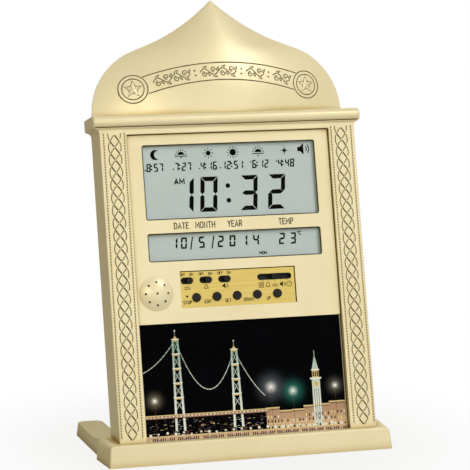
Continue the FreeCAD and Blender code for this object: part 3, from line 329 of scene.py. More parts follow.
# two tones, grain in mm and roughness, then the grain's depth and the gloss where they differ
MOULDED = {
    "diffuser": ((236, 238, 236), (246, 247, 246), 2.0, 0.4),
    "elastomer": ((205, 120, 130), (222, 140, 150), 0.4, 0.7),
    "circuit_board": ((20, 96, 48), (30, 120, 62), 0.8, 0.35),
    "flat_cable": ((186, 188, 190), (204, 206, 208), 0.7, 0.5),
    "chip": ((28, 28, 30), (40, 40, 42), 0.15, 0.6),
    "thermistor": ((44, 28, 16), (62, 42, 26), 0.3, 0.3),
    "black_plastic": ((14, 12, 11), (26, 22, 20), 0.25, 0.42, 0.01, 0.15),
    "magnet": ((44, 44, 46), (62, 62, 64), 0.3, 0.6),
    "paper_cone": ((30, 30, 30), (46, 45, 44), 0.35, 0.85, 0.03),
    "cell": ((34, 42, 96), (44, 54, 116), 4.0, 0.3),
    "pad": ((30, 30, 30), (48, 47, 46), 0.4, 0.85, 0.02),
}
# two tones and roughness
METALS = {
    "can": ((190, 192, 194), (214, 216, 218), 0.25),
    "speaker_steel": ((150, 150, 152), (178, 178, 180), 0.35),
    "contact": ((196, 198, 196), (222, 224, 222), 0.22),
    "screw": ((160, 162, 164), (196, 198, 200), 0.3),
}
for make, table in ((moulded, MOULDED), (brushed_metal, METALS)):
    FINISHES.update((slot, make(slot, *values)) for slot, values in table.items())


def dress_nodes():
    for row in frame["record"]["subparts"]:
        mesh = frame["nodes"][row["node"]].data
        mesh.materials.clear()
        mesh.materials.append(STAND_GOLD if row["node"] == "stand_base" else FINISHES[row["material_slot"]])


# --- meshes ---
def link(name, data):
    made = bpy.data.objects.new(name, data)
    bpy.context.scene.collection.objects.link(made)
    return made


class Piece:
    """Collects closed solids for one object. Flat marks lie between two depths, its own if none are given."""

    def __init__(self, depths=None):
        self.depths = depths
        self.points = []
        self.faces = []
        self.paints = []

    def add(self, points, faces, paint=0):
        start = len(self.points)
        self.points += points
        self.faces += [[start + i for i in face] for face in faces]
        self.paints += paint if isinstance(paint, list) else [paint] * len(faces)

    def prism(self, outline, depths=None, paint=0):
        """A flat plate from an (x, z) outline."""
        area = sum(a[0] * b[1] - b[0] * a[1] for a, b in zip(outline, outline[1:] + outline[:1]))
        if area < 0:
            outline = outline[::-1]
        n = len(outline)
        points = [case_point(x, y, z) for y in depths or self.depths for x, z in outline]
        faces = [list(range(n)), list(range(2 * n - 1, n - 1, -1))]
        faces += [[i, i + n, (i + 1) % n + n, (i + 1) % n] for i in range(n)]
        self.add(points, faces, paint)

    def stroke(self, path, width, closed=False, depths=None, paint=0):
        """A line of even width along an (x, z) path, with mitred corners."""
        count = len(path)
        points = []
        for pair in mitred(path, width / 2, closed):
            points += [case_point(x, y, z) for y in depths or self.depths for x, z in pair]
        faces = []
        for i in range(count if closed else count - 1):
            a, b = 4 * i, 4 * ((i + 1) % count)
            faces += [[a, a + 1, b + 1, b], [a + 2, b + 2, b + 3, a + 3],
                      [a, b, b + 2, a + 2], [a + 1, a + 3, b + 3, b + 1]]
        if not closed:
            end = 4 * (count - 1)
            faces += [[0, 2, 3, 1], [end, end + 1, end + 3, end + 2]]
        self.add(points, faces, paint)

    def object(self, name, materials, slot, body="clock_body"):
        mesh = bpy.data.meshes.new(name)
        mesh.from_pydata([tuple(p) for p in self.points], [], self.faces)
        for material in materials:
            mesh.materials.append(material)
        mesh.polygons.foreach_set("material_index", self.paints)
        mesh.update()
        made = link(name, mesh)
        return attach(made, body)


MITRE_LIMIT = 0.45  # least cosine of half a corner's turn that a mitre follows


def mitred(path, half, closed):
    """Left and right points beside each point of a path."""
    count = len(path)
    pairs = []
    for i, (x, z) in enumerate(path):
        before = path[i - 1] if i or closed else path[i]
        after = path[(i + 1) % count] if i < count - 1 or closed else path[i]
        ins = Vector((x - before[0], z - before[1]))
        out = Vector((after[0] - x, after[1] - z))
        ins = ins.normalized() if ins.length > 1e-9 else out.normalized()
        out = out.normalized() if out.length > 1e-9 else ins
        along = (ins + out).normalized() if (ins + out).length > 1e-6 else ins
        reach = half / max(along.dot(out), MITRE_LIMIT)
        side = Vector((-along[1], along[0])) * reach
        pairs.append(((x + side[0], z + side[1]), (x - side[0], z - side[1])))
    return pairs


def polar(x, z, radius, angle):
    return x + radius * cos(angle), z + radius * sin(angle)


def circle(x, z, radius, count, start=0.0, stop=2 * pi):
    """Points of a circle, or of an arc with both of its ends."""
    ends = 0 if stop - start == 2 * pi else 1
    return [polar(x, z, radius, start + (stop - start) * i / count) for i in range(count + ends)]


def steps(start, stop, size):
    """Even steps of about a size from start to stop, both included."""
    count = max(1, round(abs(stop - start) / size))
    return [start + (stop - start) * i / count for i in range(count + 1)]


# --- engraving on the case's front ---
case = frame["nodes"]["case_surround"].data
SKIN = BVHTree.FromPolygons([v.co.copy() for v in case.vertices], [p.vertices[:] for p in case.polygons])
SUNK = -0.05  # height of an ornament's foot, under the surface

# across and up, in mm: a groove between two rounded lips, closed below the surface; its dark core is painted
# shade
GROOVE = ((-0.78, -0.08), (-0.66, 0.06), (-0.52, 0.09), (-0.4, 0.02),
          (0.4, 0.02), (0.52, 0.09), (0.66, 0.06), (0.78, -0.08))


def lift(x, z, height):
    """The point at (x, z) on the case's front, raised by a height in mm."""
    hit, normal, _, _ = SKIN.ray_cast(case_point(x, -40, z), INTO)
    return hit + normal * height * MM


def engrave(piece, path, closed=False, width=1.0, core=0):
    """A groove with lips along an (x, z) path on the case's front; its core takes a paint of its own, painted
    shade.
    """
    points = []
    for (x, z), (left, _) in zip(path, mitred(path, 1.0, closed)):
        across = Vector((left[0] - x, left[1] - z)).normalized()
        for offset, height in GROOVE:
            points.append(lift(x - across[0] * offset * width, z - across[1] * offset * width, height))
    n = len(GROOVE)
    count = len(path)
    faces = []
    paints = []
    for i in range(count if closed else count - 1):
        a, b = n * i, n * ((i + 1) % count)
        faces += [[a + j, b + j, b + (j + 1) % n, a + (j + 1) % n] for j in range(n)]
        paints += [1, 1, 1, core, 1, 1, 1, 1]
    if not closed:
        end = n * (count - 1)
        faces += [list(range(n)), list(range(end + n - 1, end - 1, -1))]
        paints += [1, 1]
    piece.add(points, faces, paints)


# --- pillars ---
SIDES = ((-1, "left"), (1, "right"))
PILLAR_X = 82.1  # middle of a pillar's ornament
ORNAMENT_LEAN = 1.2 / 205  # the pillars' ornament draws in towards its head
BRAID_HALF_W = 4.4
BRAID_PITCH = 34.4
BRAID_TURNS = 6  # between the two tips
BRAID_FOOT, BRAID_HEAD = -0.4, 207.6  # lower tip, and where the side strands run out
BRAID_STEP = 1 / 48  # of a turn
NEAR = 0.01
# Strokes of a strand on its way down, in turns from its right-hand bend: start, stop, width, and
# whether it lies on top. Where it comes back to the left it dips under the others.
BRAID_STROKES = ((0.625, 0.742, 1.05, True), (0.758, 0.875, 1.05, True), (0.888, 1.078, 0.75, False),
                 (0.125, 0.236, 0.72, False), (0.260, 0.370, 0.72, False), (0.392, 0.615, 0.75, False))
BEAD_X, BEAD_Z = (75.0, 89.5), (0.8, 207.6)  # the two lines of beads, and their ends
BEAD_PITCH, BEAD_R, BEAD_H, BEAD_SIDES = 2.0, 0.6, 0.28, 8
BEAD_RINGS = ((1.0, -0.05), (0.82, 0.55), (0.45, 0.9))  # share of the radius and of the height


def drawn_in(x, z):
    return x - copysign(ORNAMENT_LEAN * z, x)


def braid_strand(middle, quarter):
    """The strokes of one of the four strands, each as (path, width, on top)."""
    low, high = BRAID_FOOT, BRAID_FOOT + BRAID_TURNS * BRAID_PITCH
    if quarter % 2:
        low, high = BRAID_FOOT + BRAID_PITCH / 8, BRAID_HEAD
    crest = BRAID_FOOT + BRAID_PITCH * (1 + quarter) / 4
    strokes = []
    for turn in range(BRAID_TURNS + 2):
        for start, stop, width, on_top in BRAID_STROKES:
            path = []
            for share in steps(start, stop, BRAID_STEP):
                z = crest + (turn - share) * BRAID_PITCH
                if low - NEAR <= z <= high:
                    path.append((drawn_in(middle, z) + BRAID_HALF_W * cos(2 * pi * share), z))
            if len(path) > 1:
                strokes.append((path, width, on_top))
    return strokes


def bead(piece, x, z):
    """A small round boss."""
    n = BEAD_SIDES
    points = []
    for share, rise in BEAD_RINGS:
        points += [lift(*spot, BEAD_H * rise) for spot in circle(x, z, BEAD_R * share, n)]
    points.append(lift(x, z, BEAD_H))
    top = len(points) - 1
    faces = [list(range(n))[::-1]]
    for a in range(0, top - n, n):
        faces += [[a + i, a + (i + 1) % n, a + n + (i + 1) % n, a + n + i] for i in range(n)]
    faces += [[top - n + i, top - n + (i + 1) % n, top] for i in range(n)]
    piece.add(points, faces, 1)


def pillars():
    for side, name in SIDES:
        braid = Piece()
        for quarter in range(4):
            for path, width, on_top in braid_strand(side * PILLAR_X, quarter):
                # the groove's core takes painted shade, fainter for strands that run beneath
                engrave(braid, path, width=width, core=0 if on_top else 2)
        braid.object(f"{name}_pillar_braid", [GROOVE_SHADE, GOLD, UNDER_STRAND_SHADE], "gold_case")
        beads = Piece()
        for x in (side * place for place in BEAD_X):
            # the groove beneath the beads; its dark core is painted shade between them
            engrave(beads, [(drawn_in(x, z), z) for z in steps(*BEAD_Z, 6)])
            for z in steps(BEAD_Z[0] + 0.5, BEAD_Z[1] - 0.5, BEAD_PITCH):
                bead(beads, drawn_in(x, z), z)
        beads.object(f"{name}_pillar_beading", [BEAD_GAP_SHADE, GOLD], "gold_case")


# --- dome ---
BAND_CENTRE_Z, BAND_R = 56.5, 191.85  # centre and radius of the band's middle line
BAND_EDGES = ((6.15, 56.4), (-6.15, 54.6))  # rise above the middle line, and reach to each side
VINES = ((-49.0, -23.0), (-16.0, 10.0), (17.0, 30.5), (37.0, 50.5))  # ends, along the band
BEND, WAVE_H = 6.6, 2.2  # length and height of a vine's bend
SCROLL_RISE, SCROLL_R, SCROLL_TURNS = 1.6, 2.0, 1.3
LEAVES = ((-0.6, 2.6, 3.1, 0.5), (2.3, -0.6, 2.9, -1.05))  # along, rise, length, angle in a bend
DIAMOND_AT, DIAMOND_RISE = (-19.5, 13.5, 33.8), 1.7
DIAMOND_R, DIAMOND_H = 0.9, 0.35
MEDAL_X, MEDAL_Z = 62.2, 238.5
MEDAL_R, MEDAL_RING_R = 9.8, 7.3
STAR_R, STAR_INNER_R, STAR_H = 5.7, 2.35, 0.8


def band_point(along, rise):
    """A point in the dome's band: mm along its middle line, and mm above it."""
    angle = along / BAND_R
    radius = BAND_R + rise
    return radius * sin(angle), BAND_CENTRE_Z + radius * cos(angle)


def scroll(piece, along, rise, hand):
    """A scroll that winds in from its stem."""
    path = []
    count = int(SCROLL_TURNS * 14)
    for i in range(count + 1):
        share = i / (SCROLL_TURNS * 14)
        angle = hand * (pi / 2 + SCROLL_TURNS * 2 * pi * share)
        path.append(band_point(*polar(along, rise, SCROLL_R * (1 - 0.72 * share), angle)))
    engrave(piece, path, width=0.62)


def leaf(piece, along, rise, length, angle):
    """A pointed leaf outline with a bowed back."""
    path = []
    for i in range(14):
        turn = 2 * pi * i / 14
        a = length * (0.5 + 0.5 * cos(turn))
        b = length * 0.26 * sin(turn) * (0.5 - 0.5 * cos(turn)) ** 0.5
        path.append(band_point(along + a * cos(angle) - b * sin(angle),
                               rise + a * sin(angle) + b * cos(angle)))
    engrave(piece, path, closed=True, width=0.55)


def vine(piece, start, stop):
    """A wave along the band with a scroll and two leaves in each bend."""
    bends = max(2, round((stop - start) / BEND))
    length = (stop - start) / bends
    wave = [band_point(s, WAVE_H * sin(pi * (s - start) / length)) for s in steps(start, stop, 0.7)]
    engrave(piece, wave, width=0.7)
    for i in range(bends):
        hand = -1 if i % 2 else 1
        middle = start + (i + 0.5) * length
        scroll(piece, middle, -hand * SCROLL_RISE, hand)
        for along, rise, size, angle in LEAVES:
            leaf(piece, middle + along, hand * rise, size, hand * angle)


def diamond(piece, along, rise):
    rim = [band_point(along + dx * DIAMOND_R, rise + dz * DIAMOND_R)
           for dx, dz in ((1, 0), (0, 1), (-1, 0), (0, -1))]
    points = [lift(x, z, SUNK) for x, z in rim] + [lift(*band_point(along, rise), DIAMOND_H)]
    piece.add(points, [[3, 2, 1, 0]] + [[i, (i + 1) % 4, 4] for i in range(4)])


def star_rim(x, z, outer, inner):
    """The ten corners of a five-pointed star."""
    return [polar(x, z, inner if i % 2 else outer, pi / 2 + pi * i / 5) for i in range(10)]


def medallion(piece, x, z):
    """Two rings round a star of ten facets."""
    engrave(piece, circle(x, z, MEDAL_R, 60), closed=True, width=0.75)
    engrave(piece, circle(x, z, MEDAL_RING_R, 48), closed=True, width=0.7)
    rim = [lift(*corner, SUNK) for corner in star_rim(x, z, STAR_R, STAR_INNER_R)]
    faces = [[i, (i + 1) % 10, 10] for i in range(10)] + [list(range(10))[::-1]]
    piece.add(rim + [lift(x, z, STAR_H)], faces, 1)
    engrave(piece, star_rim(x, z, STAR_R + 0.35, STAR_INNER_R + 0.3), closed=True, width=0.55)


def dome():
    edges = Piece()
    # each groove's dark core is painted shade
    for rise, reach in BAND_EDGES:
        engrave(edges, [band_point(s, rise) for s in steps(-reach, reach, 1.5)], width=0.75)
    edges.object("dome_band_edges", [GROOVE_SHADE, GOLD], "gold_case")
    vines = Piece()
    for start, stop in VINES:
        vine(vines, start, stop)
    vines.object("dome_band_scrolls", [GROOVE_SHADE, GOLD], "gold_case")
    diamonds = Piece()
    for along in DIAMOND_AT:
        diamond(diamonds, along, -DIAMOND_RISE)
        diamond(diamonds, along, DIAMOND_RISE)
    # the diamonds take the same dark paint as the grooves' painted shade
    diamonds.object("dome_band_diamonds", [GROOVE_SHADE], "gold_case")
    for side, name in SIDES:
        medal = Piece()
        medallion(medal, side * MEDAL_X, MEDAL_Z)
        medal.object(f"{name}_medallion", [GROOVE_SHADE, GOLD], "gold_case")


# --- figures, letters and signs ---
PRINT_T = 0.03  # thickness of printed marks
PRINT_SINK = 0.01  # how far they reach into what carries them
FIGURE_LEAN = 0.08
SEGMENTS = {"0": "abcdef", "1": "bc", "2": "abged", "3": "abgcd", "4": "fgbc", "5": "afgcd",
            "6": "afgedc", "7": "abc", "8": "abcdefg", "9": "abcdfg"}

# Plain capitals in a box one unit high: the width, then the strokes.
LETTERS = {
    "A": (0.78, [(0, 0), (0.39, 1), (0.78, 0)], [(0.14, 0.34), (0.64, 0.34)]),
    "C": (0.7, [(0.7, 0.84), (0.54, 1), (0.16, 1), (0, 0.84), (0, 0.16), (0.16, 0), (0.54, 0), (0.7, 0.16)]),
    "D": (0.72, [(0, 0), (0, 1), (0.48, 1), (0.68, 0.82), (0.72, 0.5), (0.68, 0.18), (0.48, 0), (0, 0)]),
    "E": (0.6, [(0.6, 1), (0, 1), (0, 0), (0.6, 0)], [(0, 0.52), (0.46, 0.52)]),
    "F": (0.58, [(0.58, 1), (0, 1), (0, 0)], [(0, 0.52), (0.44, 0.52)]),
    "H": (0.72, [(0, 0), (0, 1)], [(0.72, 0), (0.72, 1)], [(0, 0.52), (0.72, 0.52)]),
    "I": (0.0, [(0, 0), (0, 1)]),
    "M": (0.9, [(0, 0), (0, 1), (0.45, 0.32), (0.9, 1), (0.9, 0)]),
    "N": (0.74, [(0, 0), (0, 1), (0.74, 0), (0.74, 1)]),
    "O": (0.74, [(0.2, 0), (0.54, 0), (0.74, 0.2), (0.74, 0.8), (0.54, 1), (0.2, 1), (0, 0.8), (0, 0.2),
                 (0.2, 0)]),
    "P": (0.62, [(0, 0), (0, 1), (0.46, 1), (0.62, 0.87), (0.62, 0.62), (0.46, 0.48), (0, 0.48)]),
    "R": (0.66, [(0, 0), (0, 1), (0.46, 1), (0.62, 0.87), (0.62, 0.64), (0.46, 0.5), (0, 0.5)],
          [(0.36, 0.5), (0.66, 0)]),
    "S": (0.62, [(0.62, 0.86), (0.48, 1), (0.14, 1), (0, 0.86), (0, 0.64), (0.14, 0.52), (0.48, 0.48),
                 (0.62, 0.36), (0.62, 0.14), (0.48, 0), (0.14, 0), (0, 0.14)]),
    "T": (0.7, [(0, 1), (0.7, 1)], [(0.35, 1), (0.35, 0)]),
    "U": (0.7, [(0, 1), (0, 0.18), (0.16, 0), (0.54, 0), (0.7, 0.18), (0.7, 1)]),
    "W": (0.98, [(0, 1), (0.25, 0), (0.49, 0.8), (0.73, 0), (0.98, 1)]),
    "Y": (0.72, [(0, 1), (0.36, 0.5), (0.72, 1)], [(0.36, 0.5), (0.36, 0)]),
}
LETTER_GAP = 0.36


def ink_on(face):
    """A piece for marks printed on a face of the clock."""
    return Piece((face - PRINT_T, face + PRINT_SINK))


def segment_outlines(x, z, width, height, bar, gap):
    """Mitred outlines of the seven segments of one figure."""
    right, top, middle = x + width, z + height, z + height / 2
    half = bar / 2
    near, far = x + gap, right - gap
    shapes = {"g": [(near + half * 0.6, middle), (near + bar, middle + half), (far - bar, middle + half),
                    (far - half * 0.6, middle), (far - bar, middle - half), (near + bar, middle - half)]}
    for level, left, opposite, end, hand in (("a", "f", "b", top, 1), ("d", "e", "c", z, -1)):
        low = end - hand * bar
        shapes[level] = [(near, end), (far, end), (far - bar, low), (near + bar, low)]
        for name, outer, inner in ((left, x, x + bar), (opposite, right, right - bar)):
            shapes[name] = [(outer, end - hand * gap), (inner, low - hand * gap),
                            (inner, middle + hand * (half + gap * 0.6)),
                            ((outer + inner) / 2, middle + hand * gap * 0.6),
                            (outer, middle + hand * (half * 0.8 + gap))]
    return shapes


def figure(piece, mark, x, z, width, height, bar, gap):
    """One figure, leaning to the right as LCD figures do."""
    shapes = segment_outlines(x, z, width, height, bar, gap)
    for name in SEGMENTS[mark]:
        piece.prism([(a + FIGURE_LEAN * (b - z), b) for a, b in shapes[name]])


def word(piece, text, x, z, height, bar, narrow=1.0, serif=0.0):
    """A word in plain capitals, from its lower left corner; serifs end its strokes if asked."""
    for letter in text:
        width, *strokes = LETTERS[letter]
        for path in strokes:
            line = [(x + a * height * narrow, z + b * height) for a, b in path]
            piece.stroke(line, bar)
            if serif:
                for end_x, end_z in (line[0], line[-1]):
                    piece.stroke([(end_x - serif, end_z), (end_x + serif, end_z)], bar * 0.6)
        x += (width + LETTER_GAP) * height * narrow


def centred_word(piece, text, x, z, height, bar, narrow, serif=0.0):
    width = (sum(LETTERS[letter][0] + LETTER_GAP for letter in text) - LETTER_GAP) * height * narrow
    word(piece, text, x - width / 2, z, height, bar, narrow, serif)


def rays(piece, x, z, radius, angles):
    for angle in angles:
        piece.stroke([polar(x, z, radius + away, angle) for away in (0.6, 1.9)], 0.5)


def sun(piece, x, z, radius, count):
    """A sun disc with rays round it."""
    piece.prism(circle(x, z, radius, 20))
    rays(piece, x, z, radius, [2 * pi * i / count for i in range(count)])


def low_sun(piece, x, z, radius, count):
    """A sun disc cut by a horizon line."""
    foot = z - 0.35 * radius
    piece.prism(circle(x, foot, radius, 20, 0.12, pi - 0.12))
    rays(piece, x, foot, radius, [pi * (i + 0.5) / count for i in range(count)])
    piece.stroke([(x - 4.4, foot - 0.6), (x + 4.4, foot - 0.6)], 0.6)


def arrow(piece, x, z, up):
    tip = 1.1 if up else -1.1
    piece.prism([(x - 0.7, z), (x + 0.7, z), (x, z + tip)])


def moon(piece, x, z, radius):
    outer = circle(x, z, radius, 18, radians(50), radians(310))
    inner = circle(x + radius * 0.62, z, radius * 0.82, 12, radians(248), radians(112))
    piece.prism(outer + inner)


def dawn_star(piece, x, z):
    """A star of four long and four short rays."""
    radii = (3.9, 0.9, 2.0, 0.9)
    piece.prism([polar(x, z, radii[i % 4], pi / 2 - pi * i / 8) for i in range(16)])


def loudspeaker(piece, x, z, size, bar):
    """A horn with two sound waves."""
    horn = [(-0.5, -0.2), (-0.25, -0.2), (0.1, -0.55), (0.1, 0.55), (-0.25, 0.2), (-0.5, 0.2)]
    piece.prism([(x + a * size, z + b * size) for a, b in horn])
    for radius in (0.32, 0.55):
        piece.stroke(circle(x + 0.08 * size, z, radius * size, 8, -0.8, 0.8), bar)


def bell(piece, x, z, size, bar):
    side = [(0.42, -0.3), (0.3, -0.18), (0.26, 0.18), (0.12, 0.4), (0, 0.44)]
    outline = [(x + a * size, z + b * size) for a, b in side]
    outline += [(x - a * size, z + b * size) for a, b in reversed(side[:-1])]
    piece.stroke(outline, bar, closed=True)
    piece.prism(circle(x, z - 0.4 * size, 0.09 * size, 8))


def dial(piece, x, z, size, bar):
    piece.stroke(circle(x, z, size * 0.45, 20), bar, closed=True)
    piece.stroke([(x, z + size * 0.3), (x, z), (x + size * 0.2, z)], bar)


def crossed_box(piece, x, z, size, bar):
    half = size * 0.4
    piece.stroke(rectangle(x - half, x + half, z - half, z + half), bar, closed=True)
    for rise in (half * 0.6, -half * 0.6):
        piece.stroke([(x - half * 0.6, z - rise), (x + half * 0.6, z + rise)], bar)


def sunrise(piece, x, z, size, bar):
    foot = z - 0.25 * size
    piece.stroke(circle(x, foot, size * 0.26, 10, 0, pi), bar)
    piece.stroke([(x - 0.5 * size, z - 0.3 * size), (x + 0.5 * size, z - 0.3 * size)], bar)
    for angle in (30, 90, 150):
        piece.stroke([polar(x, foot, r * size, radians(angle)) for r in (0.4, 0.58)], bar)


def rectangle(x0, x1, z0, z1):
    return [(x0, z0), (x1, z0), (x1, z1), (x0, z1)]


def rounded(half_w, low, high, radius):
    """A rectangle with rounded corners, even about x = 0."""
    right, top, foot = half_w - radius, high - radius, low + radius
    path = []
    for x, z, start in ((right, top, 0), (-right, top, 90), (-right, foot, 180), (right, foot, 270)):
        path += circle(x, z, radius, 5, radians(start), radians(start + 90))
    return path


# --- displays ---
WINDOW_SHADE_W = 0.7  # painted shade: a dark line round the inside of an LCD window
WINDOW_SHADE_DEPTHS = (PANEL_FACE + 0.4, PANEL_FACE + 0.9)
POLARISER_DEPTHS = (LCD_FACE, LCD_FACE + 0.04)

# of each set of figures: foot, width, height, bar and gap
TIME_FONT = (151.6, 12.2, 24.0, 3.0, 0.28)
SMALL_FONT = (180.3, 3.0, 5.7, 0.95, 0.05)
DATE_FONT = (127.0, 4.3, 7.8, 1.25, 0.08)
TIME_FIGURES = ("1032", (-39.6, -22.7, 6.0, 25.9))
COLON_X, COLON_Z, COLON_R = -1.8, (158.9, 169.0), 1.65
SMALL_TIMES = (("8:57", -46.9), ("7:27", -27.1), ("4:16", -8.7), ("12:51", 10.0), ("6:12", 28.3),
               ("4:48", 46.9))  # each ends at its x
MORNING_X = 20.0  # times to the right of it have an arrow up
SMALL_PITCH, SMALL_COLON_PITCH = 3.65, 1.5
SMALL_DOTS, SMALL_DOT_R = (182.0, 184.3), 0.62
DATE_FIGURES = ("105201423", (-44.9, -38.2, -25.6, -12.1, -3.7, 4.8, 13.2, 31.9, 39.9))
DATE_SLASHES = (-30.3, -15.2)
SIGN_Z = 191.9


def small_time(piece, text, right):
    """A time in small figures that ends at right, with a little arrow before it."""
    up = right > MORNING_X
    foot, width = SMALL_FONT[:2]
    for mark in reversed(text):
        if mark == ":":
            right -= SMALL_COLON_PITCH
            for z in SMALL_DOTS:
                piece.prism(circle(right + SMALL_COLON_PITCH / 2, z, SMALL_DOT_R, 8))
        else:
            figure(piece, mark, right - width, *SMALL_FONT)
            right -= SMALL_PITCH
    arrow(piece, right - 0.1, foot + (4.0 if up else 1.6), up)


def day_signs():
    """A sign over each small time: moon, sunset, low, high and rising sun, and a dawn star."""
    signs = ink_on(LCD_FACE)
    moon(signs, -51.8, SIGN_Z, 3.5)
    low_sun(signs, -33.6, SIGN_Z, 2.5, 7)
    arrow(signs, -33.6, SIGN_Z - 2.0, False)
    sun(signs, -14.2, SIGN_Z, 1.7, 8)
    sun(signs, 3.4, SIGN_Z, 2.3, 12)
    low_sun(signs, 21.6, SIGN_Z, 2.5, 7)
    arrow(signs, 21.6, SIGN_Z - 3.3, True)
    dawn_star(signs, 40.6, SIGN_Z)
    loudspeaker(signs, 53.8, 192.4, 7.4, 0.7)
    signs.object("small_time_signs", [INK], "black_plastic")


def windows():
    """The displays' front sheets, and a dark line of painted shade round each window."""
    sheets = Piece(POLARISER_DEPTHS)
    edges = Piece(WINDOW_SHADE_DEPTHS)
    inset = WINDOW_SHADE_W / 2
    for low, high in WINDOWS:
        sheets.prism(rounded(WINDOW_HALF_W + 1, low - 1, high + 1, WINDOW_R))
        inner = rounded(WINDOW_HALF_W - inset, low + inset, high - inset, WINDOW_R - inset)
        # painted shade: a dark ring along the window's wall
        edges.stroke(inner, WINDOW_SHADE_W, closed=True)
    sheets.object("display_polarisers", [FINISHES["lcd"]], "lcd")
    edges.object("window_shade_lines", [WINDOW_SHADE_INK], "black_plastic")


def displays():
    windows()
    clock = ink_on(LCD_FACE)
    for mark, x in zip(*TIME_FIGURES):
        figure(clock, mark, x, *TIME_FONT)
    for z in COLON_Z:
        clock.prism(circle(COLON_X, z, COLON_R, 24))
    word(clock, "AM", -39.4, 171.3, 3.5, 0.9, 0.95)
    clock.object("time_figures", [INK], "black_plastic")
    small = ink_on(LCD_FACE)
    for text, right in SMALL_TIMES:
        small_time(small, text, right)
    small.object("small_time_figures", [INK], "black_plastic")
    day_signs()
    date = ink_on(LCD_FACE)
    for mark, x in zip(*DATE_FIGURES):
        figure(date, mark, x, *DATE_FONT)
    foot, _, height = DATE_FONT[:3]
    for x in DATE_SLASHES:
        date.stroke([(x - 0.9, foot - 0.8), (x + 0.9, foot + height + 0.2)], 0.9)
    date.stroke(circle(46.2, 135.1, 0.5, 10), 0.36, closed=True)
    word(date, "C", 47.0, 133.2, 2.2, 0.55)
    word(date, "MON", 17.6, 120.9, 1.7, 0.55, 0.95)
    date.object("date_figures", [INK], "black_plastic")


# --- legends ---
PANEL_WORDS = (("DATE", -37.5), ("MONTH", -20.6), ("YEAR", 0.4), ("TEMP", 37.1))
PANEL_FONT = (140.6, 3.9, 0.6, 0.66, 0.42)  # foot, height, bar, narrowing and serif
SWITCH_FONT = (SWITCH_Z + 3.3, 1.7, 0.4)  # foot, height and bar
SWITCH_WORDS = (("OFF", -2.8, 0.78), ("ON", 3.4, 0.8))  # each with its shift and narrowing
BUTTON_WORDS = ("STOP", "EDIT", "SET", "DOWN", "UP")
BUTTON_FONT = (FIRST_BUTTON.z - 4.1, 2.1, 0.42, 0.72)
BUTTON_WORD_SHIFT = -6.4  # from a button to the middle of its word
SWITCH_SIGNS = ((sunrise, 100.6, 4.6, 0.42), (bell, 100.3, 3.6, 0.42), (loudspeaker, 100.4, 3.6, 0.36))
MODE_SIGNS = ((crossed_box, 16.4, 3.9, 0.4), (bell, 21.3, 3.9, 0.4), (sunrise, 26.3, 3.9, 0.4),
              (dial, 36.6, 3.9, 0.4), (loudspeaker, 31.6, 3.8, 0.36))
MODE_SIGN_Z = 99.5
MODE_TICK_PITCH, MODE_TICK_Z = 4.2, (102.6, 101.9)
MARKER = ((-38.0, 94.9), (-35.4, 94.9), (-36.7, 93.2))
LABEL_SHADE = ((-40.8, 111.2), (40.7, 111.2), (40.7, 87.0))


def legends():
    panel = ink_on(PANEL_FACE)
    for text, x in PANEL_WORDS:
        centred_word(panel, text, x, *PANEL_FONT)
    panel.object("panel_words", [LEGEND], "black_plastic")
    label = ink_on(LABEL_FACE)
    for x in SWITCH_X:
        for text, shift, narrow in SWITCH_WORDS:
            centred_word(label, text, x + shift, *SWITCH_FONT, narrow)
    for i, text in enumerate(BUTTON_WORDS):
        centred_word(label, text, FIRST_BUTTON.x + i * BUTTON_PITCH + BUTTON_WORD_SHIFT, *BUTTON_FONT)
    label.prism(MARKER)
    for (sign, *place), x in zip(SWITCH_SIGNS, SWITCH_X):
        sign(label, x, *place)
    for sign, x, size, bar in MODE_SIGNS:
        sign(label, x, MODE_SIGN_Z, size, bar)
    for i in range(5):
        x = MODE_X + (i - 2) * MODE_TICK_PITCH
        label.stroke([(x, z) for z in MODE_TICK_Z], 0.34)
    # painted shadow: a line of legend ink along the label's top and right edges
    label.stroke(LABEL_SHADE, 0.5)
    label.object("label_legends_and_painted_shadow", [LEGEND], "gold_label")


# --- picture ---
LAYER, LAYER_LAP = 0.02, 0.004
LEFT, RIGHT, FOOT, HEAD = -71.8, 71.8, -3.1, 76.3
MARGIN = 0.6  # bare edge of the card
WATER_Z, DECK_Z, BANK_X = -0.6, 15.0, 14.0
DECK_H = 2.2
PYLONS = ((-47.0, 66.0), (-6.0, 57.0))  # x and height of the bridge's towers
PYLON_FOOT, PYLON_HEAD = 3.9, 2.3  # half-widths
STOREY = 3.4
BELFRY_X, BELFRY_TOP, BELFRY_HALF_W = 51.0, 50.0, 2.9


def lit_print(name, foot_tone, head_tone, foot, head):
    """Print of a floodlit wall, whose tone changes from foot to head."""
    finish = Finish(name, roughness=0.6, specular=0.06)
    low, high = (case_point(0, 0, z).dot(UP) for z in (foot, head))
    rise = finish.between(finish.measure("DOT_PRODUCT", finish.place, UP), 0, 1, low, high)
    tone = finish.ramp(rise, (0.0, linear(*foot_tone)), (1.0, linear(*head_tone)))
    finish.colour(finish.mix(finish.between(finish.noise(0.8, 3), -0.35, 0.5), tone, linear(70, 74, 74)))
    return finish.material


PRINTS = [
    lit_print("print_mint", (244, 252, 250), (150, 186, 172), DECK_Z, 66.0),
    lit_print("print_cream", (250, 232, 170), (226, 200, 120), 8.0, 60.0),
    lit_print("print_brick", (236, 200, 166), (146, 102, 78), 0.0, 26.0),
    printed("print_umber", (70, 46, 40), (112, 80, 70), 1.2),
    printed("print_white", (240, 246, 248), (255, 255, 255), 1.0),
    printed("print_night", (12, 12, 16), (30, 28, 34), 2.0),
    printed("print_violet", (84, 70, 116), (160, 140, 180), 1.4),
    printed("print_margin", (196, 194, 176), (210, 208, 190), 3.0),
    FINISHES["picture_print"],
]
mint, cream, brick, umber, white, night, violet, margin, sky = range(len(PRINTS))


